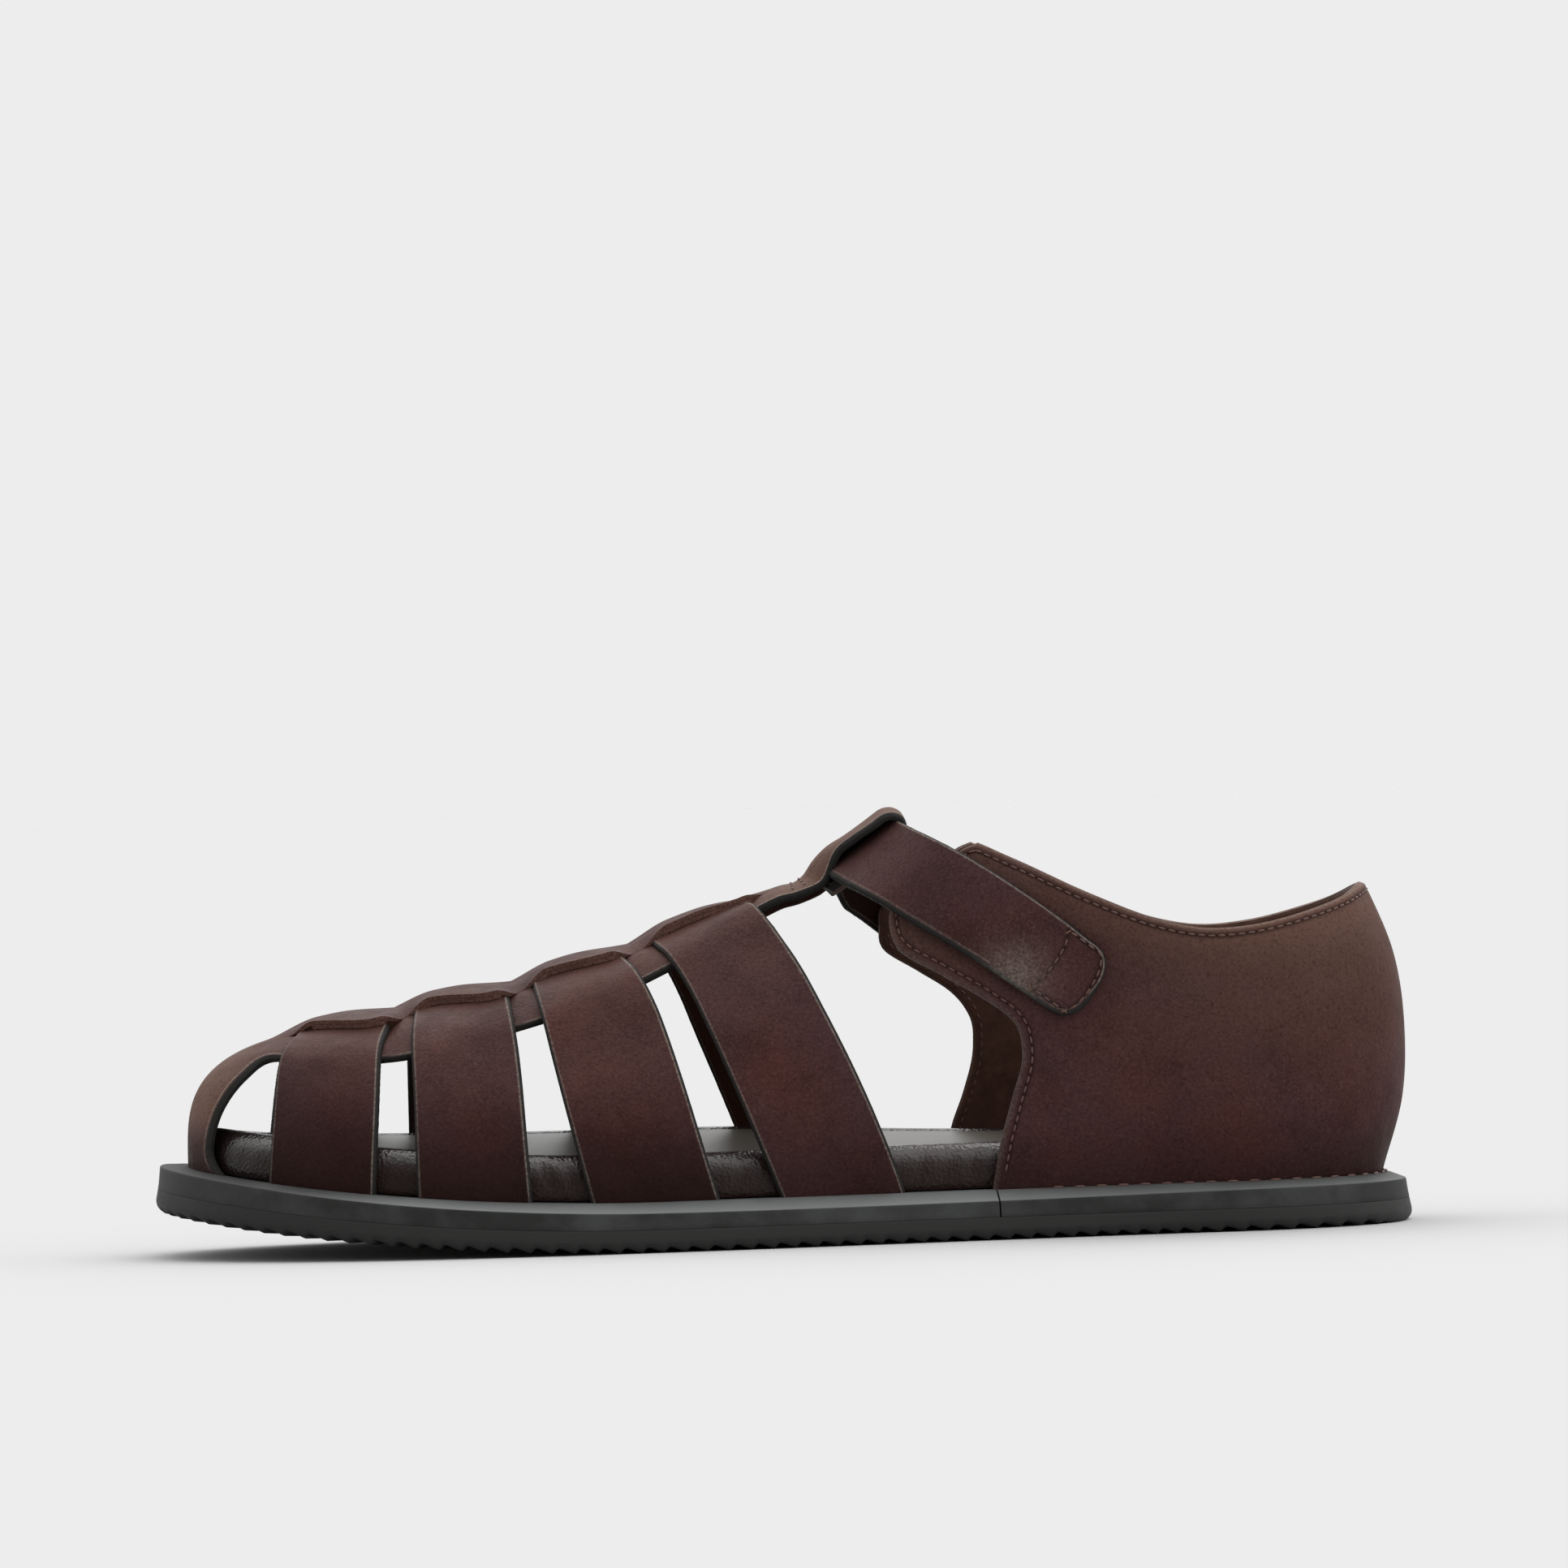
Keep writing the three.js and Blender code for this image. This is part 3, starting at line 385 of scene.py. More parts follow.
def edge_distance(points, *lines):
    """Distance of each point to the nearest of some lines."""
    marks = np.concatenate([walk(line, 0.25)[0] for line in lines])
    tree = KDTree(len(marks))
    for i, mark in enumerate(marks):
        tree.insert(mark, i)
    tree.balance()
    flat = points.reshape(-1, 3)
    return np.array([tree.find(p)[2] for p in flat]).reshape(points.shape[:-1])


def walk(line, step, *others):
    """A line of points at even steps, and other rows along it at the same steps."""
    far = np.r_[0, np.cumsum(np.linalg.norm(np.diff(line, axis=0), axis=1))]
    at = np.linspace(0, far[-1], max(2, int(round(far[-1] / step)) + 1))
    return [np.stack([np.interp(at, far, row[:, k]) for k in range(3)], -1) for row in (line, *others)]


def rounded(distance, radius, least=0.4):
    """Share of a leather's half thickness that is left at a distance from its cut edge."""
    share = np.clip(1 - distance / radius, 0, 1)
    return np.maximum(least, np.sqrt(1 - share * share))


def sheet(middle, normal, half, pressed=0.0):
    """Points and faces of a closed leather sheet round a grid, its front pressed in; the back comes last."""
    rows, columns = half.shape
    front = middle + normal * (half - pressed)[..., None]
    points = np.concatenate([front, middle - normal * half[..., None]])
    index = np.arange(rows * columns).reshape(rows, columns)
    skin = quads(index)
    ring = np.concatenate([index[0, :-1], index[:-1, -1], index[-1, :0:-1], index[:0:-1, 0]])
    after = np.roll(ring, -1)
    back = rows * columns
    rim = np.stack([ring, after, after + back, ring + back], -1)
    return points.reshape(-1, 3), np.concatenate([skin, rim, skin[:, ::-1] + back])


def quads(index):
    """Faces between the points of a grid."""
    return np.stack([index[:-1, :-1], index[1:, :-1], index[1:, 1:], index[:-1, 1:]], -1).reshape(-1, 4)


def loft(rings, closed=True):
    """Points and faces through rings of points, which run counter-clockwise seen along the way they go."""
    count, around = rings.shape[:2]
    index = np.arange(count * around).reshape(count, around)
    after = np.roll(index, -1, 1)
    if not closed:
        index, after = index[:, :-1], after[:, :-1]
    faces = np.stack([index[:-1], after[:-1], after[1:], index[1:]], -1).reshape(-1, 4)
    return rings.reshape(-1, 3), faces


def ladder(ring):
    """Faces that close a ring of points from its first point to the opposite one."""
    count = len(ring)
    half = count // 2
    rungs = [[ring[i], ring[i + 1], ring[count - i - 1], ring[count - i]] for i in range(1, half - 1)]
    return [*rungs, [ring[0], ring[1], ring[-1]], [ring[half - 1], ring[half], ring[half + 1]]]


def make_piece(name, points, faces, materials, marks=None, material_index=None, sharp=48):
    """A finished mesh object in the frame's place, with its marks for the material as point attributes."""
    mesh = bpy.data.meshes.new(name)
    mesh.from_pydata(to_frame(points).tolist(), [], [list(map(int, f)) for f in faces])
    for key, values in (marks or {}).items():
        attribute = mesh.attributes.new(key, "FLOAT", "POINT")
        attribute.data.foreach_set("value", np.asarray(values, np.float32).ravel())
    for material in materials:
        mesh.materials.append(material)
    if material_index is not None:
        mesh.polygons.foreach_set("material_index", np.asarray(material_index, np.int32))
    mesh.shade_smooth()
    mesh.set_sharp_from_angle(angle=math.radians(sharp))
    if mesh.validate():
        raise RuntimeError(name + " has faces that are not sound")
    piece = bpy.data.objects.new(name, mesh)
    bpy.context.scene.collection.objects.link(piece)
    return piece


def dress(piece, node):
    """Puts a piece on the sandal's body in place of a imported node."""
    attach(piece, "root")
    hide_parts(node)


def add(tree, kind, links=None, **settings):
    """Adds a node with its settings; links gives its inputs as values, or as nodes and sockets to link."""
    node = tree.nodes.new(kind)
    for key, value in settings.items():
        setattr(node, key, value)
    for key, value in (links or {}).items():
        if isinstance(value, bpy.types.Node):
            value = value.outputs[0]
        if isinstance(value, bpy.types.NodeSocket):
            tree.links.new(value, node.inputs[key])
        else:
            node.inputs[key].default_value = value
    return node


# What each kind of step in a recipe adds: a node, the inputs its row fills, its usual output, its settings.
# Sizes of patterns and heights of bumps are in millimetres.
STEPS = {
    "noise": ("ShaderNodeTexNoise", ("Scale", "Detail", "Roughness"), "Fac", {}),
    "cells": ("ShaderNodeTexVoronoi", ("Scale",), "Distance", {"feature": "F1"}),
    "pebbles": ("ShaderNodeTexVoronoi", ("Scale",), "Distance", {"feature": "SMOOTH_F1"}),
    "surface": ("ShaderNodeNewGeometry", (), "Normal", {}),
    "axes": ("ShaderNodeSeparateXYZ", (0,), "Z", {}),
    "split": ("ShaderNodeSeparateColor", (0,), "Red", {}),
    "range": ("ShaderNodeMapRange", ("Value", "From Min", "From Max", "To Min", "To Max"), 0, {}),
    "sum": ("ShaderNodeMath", (0, 1, 2), 0, {"operation": "MULTIPLY_ADD"}),
    "layer": ("ShaderNodeMix", (0, 6, 7), 2, {"data_type": "RGBA"}),
    "bump": ("ShaderNodeBump", ("Height", "Strength", "Distance", "Normal"), 0, {}),
}
GLOSSY, MATT = "ShaderNodeBsdfPrincipled", "ShaderNodeBsdfDiffuse"


def moulded_rubber(base, scuff):
    """Moulded rubber: charcoal, dull, with a fine sandy skin, paler scuffs in patches and a painted highlight
    on the marked bevel.
    """
    rows = (
        ("cloud", "noise", 18, 5, 0.6),
        ("wear_and_highlight", "range", "cloud", 0.4, 0.75, 0, 0.35),
        ("skin", "layer", "wear_and_highlight", base, scuff),
        # The marked bevel gets a painted highlight.
        ("lit", "sum", "mark bevel", 0.85, 0),
        ("highlit", "layer", "lit", "skin", scuff),
        # Painted shade in the cuts of the teeth, on the welt's wall and towards the toe.
        ("dark", "layer", "mark low", "highlit", "colour grime"),
        # Grit about 0.4 mm wide, drawn at 0.6 mm so that it shows.
        ("grit", "noise", 0.6, 3, 0.7),
        ("skinned", "bump", "grit", 0.3, 0.15),
        ("gloss", "range", "cloud", 0.3, 0.7, 0.55, 0.75),
    )
    shader = {"Base Color": "dark", "Roughness": "gloss", "Normal": "skinned"}
    return rows, GLOSSY, {**shader, "IOR": 1.5, "Specular IOR Level": 0.25}


# Recipes by material: rows of step, kind and values, then the shader and its inputs. A value is a number,
# a mark on the mesh, a colour or an earlier step.
RECIPES = {
    # Full-grain cowhide, drum dyed and waxed: mottled brown, burnished in patches, with a fine tight grain.
    "waxed_leather": ((
        # Burnish and dark clouds lie in patches about 22 mm wide, the dye is uneven over about 6 mm.
        ("patches", "noise", 22, 4, 0.55),
        ("parts", "split", "patches.Color"),
        ("burnished", "range", "parts.Red", 0.45, 0.7, 0, 0.5),
        ("rubbed", "sum", "mark burnish", 0.55, "burnished"),
        ("mottle", "noise", 6, 5, 0.65),
        ("clouds", "sum", "mottle", 0.35, "parts.Green"),
        ("uneven", "range", "clouds", 0.6, 0.9, 0, 0.5),
        ("ground", "layer", "rubbed", "colour leather", "colour burnish"),
        ("dyed", "layer", "uneven", "ground", "colour shade"),
        # Wax bloom and painted sheen pale the faces that look up; the marked places get painted light.
        ("surface", "surface"),
        ("up", "axes", "surface"),
        ("bloom", "range", "up", 0.4, 1, 0, 0.46),
        ("waxed", "sum", "bloom", "patches", "mark bloom"),
        ("with_bloom_and_sheen", "layer", "waxed", "dyed", "colour dust"),
        # Pores about 0.7 mm apart show as dark specks, and the wax on the grain between them as pale ones.
        ("pores", "noise", 0.7, 3, 0.75),
        ("specks", "range", "pores", 0.52, 0.7, 0, 0.55),
        ("pitted", "layer", "specks", "with_bloom_and_sheen", "colour shade"),
        ("wax", "range", "pores", 0.47, 0.3, 0, 0.35),
        ("speckled", "layer", "wax", "pitted", "colour dust"),
        # Painted shade darkens the leather towards the welt, and the ankle strap's back.
        ("low", "sum", "mark low", 0.85, 0),
        ("lowered", "layer", "low", "speckled", "colour shade"),
        ("fleshed", "layer", "mark flesh", "lowered", "colour lining"),
        # Painted shade in the stitch grooves, in the gaps under the slits and on the backs of the straps.
        ("pressed", "sum", "mark groove", 0.9, 0),
        ("grooved", "layer", "pressed", "fleshed", "colour shade"),
        ("painted", "layer", "mark edge", "grooved", "colour edge"),
        # A painted highlight on the arris beside the painted edge, broken up over the grain.
        ("flakes", "range", "pores", 0.62, 0.38, 0.25, 0.8),
        ("wear_and_highlight", "sum", "mark arris", "flakes", 0),
        ("lined", "layer", "wear_and_highlight", "painted", "colour arris"),
        # Loose fibres about 0.5 mm long fleck the raw edges.
        ("fibres", "noise", 0.5, 2),
        ("flecks", "range", "fibres", 0.4, 0.7, 0, 0.6),
        ("fluff", "layer", "flecks", "colour raw", "colour shade"),
        ("frayed", "layer", "mark raw", "lined", "fluff"),
        # Grain cells about 0.9 mm wide, with slow dents about 5 mm wide under them.
        ("cells", "cells", 0.9),
        ("dents", "noise", 5, 3),
        ("wave", "bump", "dents", 0.35, 0.8),
        ("grain", "bump", "cells", 0.6, 0.12, "wave"),
        ("gloss", "range", "mottle", 0.3, 0.7, 0.46, 0.62),
        ("dull", "sum", "mark flesh", 0.3, "gloss"),
    ), GLOSSY, {
        "Base Color": "frayed", "Roughness": "dull", "Normal": "grain", "IOR": 1.5,
        "Specular IOR Level": 0.045,
    }),
    # Split suede inside the quarter: dull, dark and cloudy where the nap was brushed.
    "suede_lining": ((
        ("nap", "noise", 6, 5, 0.7),
        ("brushed", "range", "nap", 0.35, 0.7, 0, 0.6),
        ("tint", "layer", "brushed", "colour lining", "colour shade"),
        ("fibres", "noise", 0.6, 3),
        ("pile", "bump", "fibres", 0.5, 0.2),
    ), GLOSSY, {
        "Base Color": "tint", "Roughness": 0.9, "Normal": "pile", "Specular IOR Level": 0.2,
        "Sheen Weight": 0.15, "Sheen Roughness": 0.5,
    }),
    # Corrected leather with a pebble grain, lacquered on the footbed's edge; its top is a grey sock.
    "pebbled_leather": ((
        ("wear", "noise", 12, 4),
        ("wear_and_highlight", "range", "wear", 0.4, 0.75, 0, 0.4),
        ("rim", "layer", "wear_and_highlight", "colour footbed", "colour shade"),
        ("sock", "layer", "mark top", "rim", "colour footbed_top"),
        # The sock's weave is flecked about every 0.7 mm.
        ("weave", "noise", 0.7, 2, 0.7),
        ("fleck", "range", "weave", 0.4, 0.65, 0, 0.4),
        ("flecked", "layer", "fleck", "sock", "colour footbed"),
        # Painted shade in the crease and on the edge towards the toe.
        ("dark", "layer", "mark groove", "flecked", "colour crease"),
        # Pebbles about 0.7 mm wide on the edge, over soft waves.
        ("pebbles", "pebbles", 0.7),
        ("puckers", "noise", 6, 3),
        ("wave", "bump", "puckers", 0.15, 0.8),
        ("edge", "sum", "mark top", -1, 1),
        ("height", "sum", "pebbles", "edge", 0),
        ("pebbled", "bump", "height", 0.75, 0.25, "wave"),
        ("gloss", "range", "mark top", 0, 1, 0.3, 0.42),
        ("shine", "sum", "mark polish", 0.6, 0.15),
    ), GLOSSY, {
        "Base Color": "dark", "Roughness": "gloss", "Normal": "pebbled", "IOR": 1.5,
        "Specular IOR Level": "shine",
    }),
    "moulded_sole_rubber": moulded_rubber("colour rubber", "colour rubber_scuff"),
    "moulded_welt_rubber": moulded_rubber("colour welt", "colour welt_scuff"),
    # Twisted polyester thread with a wax finish: a soft shine and twist lines about 0.25 mm apart.
    "waxed_thread": ((
        ("dye", "noise", 4, 2),
        ("tint", "layer", "dye", "colour thread", "colour leather"),
        ("twist", "noise", 0.25, 1),
        ("twisted", "bump", "twist", 0.4, 0.1),
    ), GLOSSY, {"Base Color": "tint", "Roughness": 0.5, "Normal": "twisted", "IOR": 1.5}),
    # Matt studio paper under the sandal: pale, even and with no gloss.
    "studio_paper": ((), MATT, {"Color": "colour floor"}),
}


def finish(name):
    """The material of that name, mixed from its recipe the first time it is asked for."""
    if name in bpy.data.materials:
        return bpy.data.materials[name]
    rows, shader, inputs = RECIPES[name]
    colours = bpy.context.scene.sandal_colours
    material = bpy.data.materials.new(name)
    material.use_nodes = True
    tree = material.node_tree
    tree.nodes.clear()
    made = {}

    def value(given):
        """What a recipe names: a mark on the mesh, a colour or an earlier step; a number stays as it is."""
        if not isinstance(given, str):
            return given
        what, _, key = given.rpartition(" ")
        if what == "mark":
            return add(tree, "ShaderNodeAttribute", attribute_name=key).outputs["Fac"]
        if what == "colour":
            return tuple(getattr(colours, key))
        step, _, output = given.partition(".")
        node, usual = made[step]
        return node.outputs[output or usual]

    for step, kind, *values in rows:
        node_kind, keys, usual, settings = STEPS[kind]
        links = {key: value(given) for key, given in zip(keys, values)}
        if "Scale" in links:
            links["Vector"] = add(tree, "ShaderNodeTexCoord").outputs["Object"]
            links["Scale"] = 1 / (links["Scale"] * MM)
        if "Distance" in links:
            links["Distance"] *= MM
        made[step] = add(tree, node_kind, links, **settings), usual
    shading = add(tree, shader, {key: value(given) for key, given in inputs.items()})
    add(tree, "ShaderNodeOutputMaterial", {"Surface": shading})
    return material


def node_group(name, numbers, material):
    """An empty tree of geometry nodes that takes numbers and a material, and what its input node gives."""
    tree = bpy.data.node_groups.new(name, "GeometryNodeTree")
    sockets = [("Geometry", "INPUT", "Geometry"), *((key, "INPUT", "Float") for key in numbers)]
    for key, way, kind in (*sockets, (material, "INPUT", "Material"), ("Geometry", "OUTPUT", "Geometry")):
        tree.interface.new_socket(key, in_out=way, socket_type="NodeSocket" + kind)
    return tree, add(tree, "NodeGroupInput").outputs


def sewing_tree():
    """Geometry nodes that lay stitches along a line; the line's points say which way is out."""
    tree, given = node_group("Sewing", ("Pitch", "Stitch length", "Thread width"), "Thread")
    line = add(tree, "GeometryNodeMeshToCurve", {"Mesh": given["Geometry"]})
    steps = add(tree, "GeometryNodeResampleCurve", {"Curve": line, "Length": given["Pitch"]}, mode="LENGTH")
    tangent = add(tree, "GeometryNodeInputTangent")
    along = add(tree, "FunctionNodeAlignRotationToVector", {"Vector": tangent}, axis="X")
    out = add(tree, "GeometryNodeInputNamedAttribute", {"Name": "out"}, data_type="FLOAT_VECTOR")
    ways = {"Rotation": along, "Vector": out.outputs["Attribute"]}
    turned = add(tree, "FunctionNodeAlignRotationToVector", ways, axis="Z", pivot_axis="X")
    ball = add(tree, "GeometryNodeMeshUVSphere", {"Segments": 8, "Rings": 6, "Radius": 0.5})
    width = given["Thread width"]
    size = add(tree, "ShaderNodeCombineXYZ", {0: given["Stitch length"], 1: width, 2: width})
    stitch = {"Points": steps, "Instance": ball, "Rotation": turned, "Scale": size}
    whole = add(tree, "GeometryNodeRealizeInstances", {0: add(tree, "GeometryNodeInstanceOnPoints", stitch)})
    soft = add(tree, "GeometryNodeSetShadeSmooth", {"Geometry": whole})
    sewn = add(tree, "GeometryNodeSetMaterial", {"Geometry": soft, "Material": given["Thread"]})
    add(tree, "NodeGroupOutput", {"Geometry": sewn})
    return tree


def rib_tree():
    """Geometry nodes that sweep each line into a six-sided rib."""
    tree, given = node_group("Ribs", ("Rib radius",), "Rubber")
    line = add(tree, "GeometryNodeMeshToCurve", {"Mesh": given["Geometry"]})
    upright = add(tree, "GeometryNodeSetCurveNormal", {"Curve": line}, mode="Z_UP")
    section = add(tree, "GeometryNodeCurvePrimitiveCircle", {"Resolution": 6, "Radius": given["Rib radius"]})
    sweep = {"Curve": upright, "Profile Curve": section, "Fill Caps": True}
    whole = add(tree, "GeometryNodeRealizeInstances", {0: add(tree, "GeometryNodeCurveToMesh", sweep)})
    ribbed = add(tree, "GeometryNodeSetMaterial", {"Geometry": whole, "Material": given["Rubber"]})
    add(tree, "NodeGroupOutput", {"Geometry": ribbed})
    return tree


def grow(name, tree, lines, values, outs=None):
    """Runs a node tree on lines of points and keeps its result as a plain mesh object."""
    points = np.concatenate([to_frame(line) for line in lines])
    starts = np.cumsum([0] + [len(line) for line in lines])
    edges = [(i, i + 1) for a, b in zip(starts[:-1], starts[1:]) for i in range(a, b - 1)]
    mesh = bpy.data.meshes.new(name + "_line")
    mesh.from_pydata(points.tolist(), edges, [])
    if outs:
        ways = mesh.attributes.new("out", "FLOAT_VECTOR", "POINT")
        ways.data.foreach_set("vector", np.concatenate(outs).astype(np.float32).ravel())
    piece = bpy.data.objects.new(name, mesh)
    bpy.context.scene.collection.objects.link(piece)
    modifier = piece.modifiers.new("Nodes", "NODES")
    modifier.node_group = tree
    for key, value in values.items():
        modifier[tree.interface.items_tree[key].identifier] = value
    made = bpy.data.meshes.new_from_object(piece.evaluated_get(bpy.context.evaluated_depsgraph_get()))
    piece.modifiers.remove(modifier)
    piece.data = made
    made.name = name
    if not made.polygons:
        raise RuntimeError(name + " came out empty")
    return piece


def sew(name, node, lines, outs, pitch, share, width=None):
    """Lays one piece of stitching along lines on the leather; share is a stitch's part of the pitch."""
    tree = bpy.data.node_groups.get("Sewing") or sewing_tree()
    width = width or bpy.context.scene.sandal_sizes.thread_width
    values = {"Pitch": pitch, "Stitch length": pitch * share, "Thread width": width}
    dress(grow(name, tree, lines, {**values, "Thread": finish("waxed_thread")}, outs), node)


def edge_offset(line, outward, inset, lift):
    """A line on the leather at an inset from its edge: the edge's points moved inwards over the surface."""
    along = np.gradient(line, axis=0)
    along /= np.linalg.norm(along, axis=1)[:, None]
    inwards = np.cross(along, outward)
    inwards /= np.linalg.norm(inwards, axis=1)[:, None]
    return line + inwards * inset + outward * lift


def toe_shade(x):
    """How far the rubber darkens towards the toe."""
    return TOE_SHADE * (1 - smooth(TOE_X, TOE_SHADE_X, x))


class SANDAL_OT_outsole(bpy.types.Operator):
    """Moulds the outsole with its toothed edge and ribbed tread"""

    bl_idname = "sandal.outsole"
    bl_label = "Outsole"

    # Rings from the tread round the edge to the top: reach, height, share of the notch.
    PROFILE = (
        (-9.2, 1.2, 0), (-8.6, 0.1, 0.95), (-7.6, 0, 1), (7.7, 0, 1), (8.3, 0.08, 1), (8.8, 0.4, 0.95),
        (9.25, 0.9, 0.75), (9.55, 1.5, 0.4), (9.66, 2.1, 0.1), (9.64, 2.8, 0), (9.48, 3.6, 0), (9.3, 4.5, 0),
        (9.19, 5.1, 0), (9.12, 5.24, 0), (-6, 5.24, 0),
    )

    def execute(self, context):
        count = TEETH * STEPS_PER_TOOTH
        walked = np.arange(count) / count * OUTLINE_LENGTH
        place = outline(walked)
        x = place[0]
        phase = np.mod(np.minimum(walked, OUTLINE_LENGTH - walked) / (OUTLINE_LENGTH / TEETH), 1)
        saw = np.where(phase < TOOTH_PEAK, phase / TOOTH_PEAK, (1 - phase) / (1 - TOOTH_PEAK))
        notch = TOOTH_DEPTH * saw * (1 - smooth(TEETH_END_X - TEETH_FADE, TEETH_END_X, x))
        rings, low = [], []
        for reach, height, share in self.PROFILE:
            cut = notch * share + (TOOTH_LEVEL * height if height < TOOTH_TOP else height)
            rings.append(beside(place, reach, np.maximum(height, cut)))
            # Painted shade towards the toe and in the cuts of the teeth.
            low.append(np.maximum(toe_shade(x), notch / TOOTH_DEPTH * TOOTH_SHADE * (share > 0)))
        points, faces = loft(np.stack(rings))
        index = np.arange(len(points)).reshape(-1, count)
        faces = [*faces.tolist(), *[f[::-1] for f in ladder(index[0].tolist())], *ladder(index[-1].tolist())]
        rubber = finish("moulded_sole_rubber")
        piece = make_piece("outsole_rubber", points, faces, [rubber], {"low": np.concatenate(low)}, sharp=35)
        dress(piece, "outsole")
        lines = []
        for at in np.arange(*RIBS_X, context.scene.sandal_sizes.rib_pitch / MM):
            outer, inner = last_sides(at)
            if inner - outer >= RIB_LEAST:
                across = np.linspace(outer - 0.5, inner + 0.5, RIB_POINTS)
                lines.append(np.stack(np.broadcast_arrays(at, across, RIB_HEIGHT), -1))
        ribs = grow("tread_ribs", rib_tree(), lines, {"Rib radius": RIB_RADIUS * MM, "Rubber": rubber})
        dress(ribs, "outsole")
        return {"FINISHED"}


class SANDAL_OT_welt(bpy.types.Operator):
    """Lays the bevelled welt round the sole, with its butt joint"""

    bl_idname = "sandal.welt"
    bl_label = "Welt"

    def execute(self, context):
        start = distance_to(WELT_JOINT_X, False) + WELT_JOINT_GAP / 2
        place = outline(start + np.linspace(0, OUTLINE_LENGTH - WELT_JOINT_GAP, WELT_STEPS))
        x = place[0]
        edge = WELT_TOP - column(WELT_DROP, 1, x, True)
        # Rings from the inside under the welt, round its edge and over its bevel: reach, height, painted
        # highlight on the bevel.
        profile = (
            (-6.5, WELT_BASE, 0), (9.1, WELT_BASE, 0), (9.15, WELT_BASE + 0.12, 0), (8.95, 6.5, 0),
            (8.58, edge - 0.6, 0), (8.5, edge - 0.16, 0), (8.38, edge - 0.02, 0.7), (8.1, edge + 0.1, 1),
            (7.1, mix(edge, WELT_TOP, 0.32), 0.8), (5.2, mix(edge, WELT_TOP, 0.83), 0.45),
            (4.6, WELT_TOP - 0.12, 0.4), (3.9, WELT_TOP, 0.35), (-6.5, WELT_TOP, 0.1),
        )
        rings = np.stack([beside(place, reach, height) for reach, height, _ in profile])
        points, faces = loft(rings, closed=False)
        index = np.arange(len(points)).reshape(-1, WELT_STEPS)
        close = np.stack([index[-1, :-1], index[-1, 1:], index[0, 1:], index[0, :-1]], -1)
        faces = [*faces.tolist(), *close.tolist(), index[:, 0].tolist(), index[::-1, -1].tolist()]
        # The bevel gets a painted highlight along the ball, less at the heel and hardly at the toe.
        pale = mix(0.1, 1, smooth(-128, -75, x)) * mix(1, 0.75, smooth(40, 110, x))
        # Painted highlight on the bevel; painted shade on the welt's wall and towards the toe.
        marks = {
            "bevel": np.concatenate([bevel * pale for _, _, bevel in profile]),
            "low": np.concatenate([np.maximum(toe_shade(x), 0.3 * (bevel == 0)) for _, _, bevel in profile]),
        }
        piece = make_piece("welt_rubber", points, faces, [finish("moulded_welt_rubber")], marks, sharp=40)
        dress(piece, "welt")
        return {"FINISHED"}


def arch_rise(x, y):
    """How far the footbed swells up towards the inner side."""
    return column(ARCH_RISE, 1, x, True) * smooth(*ARCH_ACROSS, y)


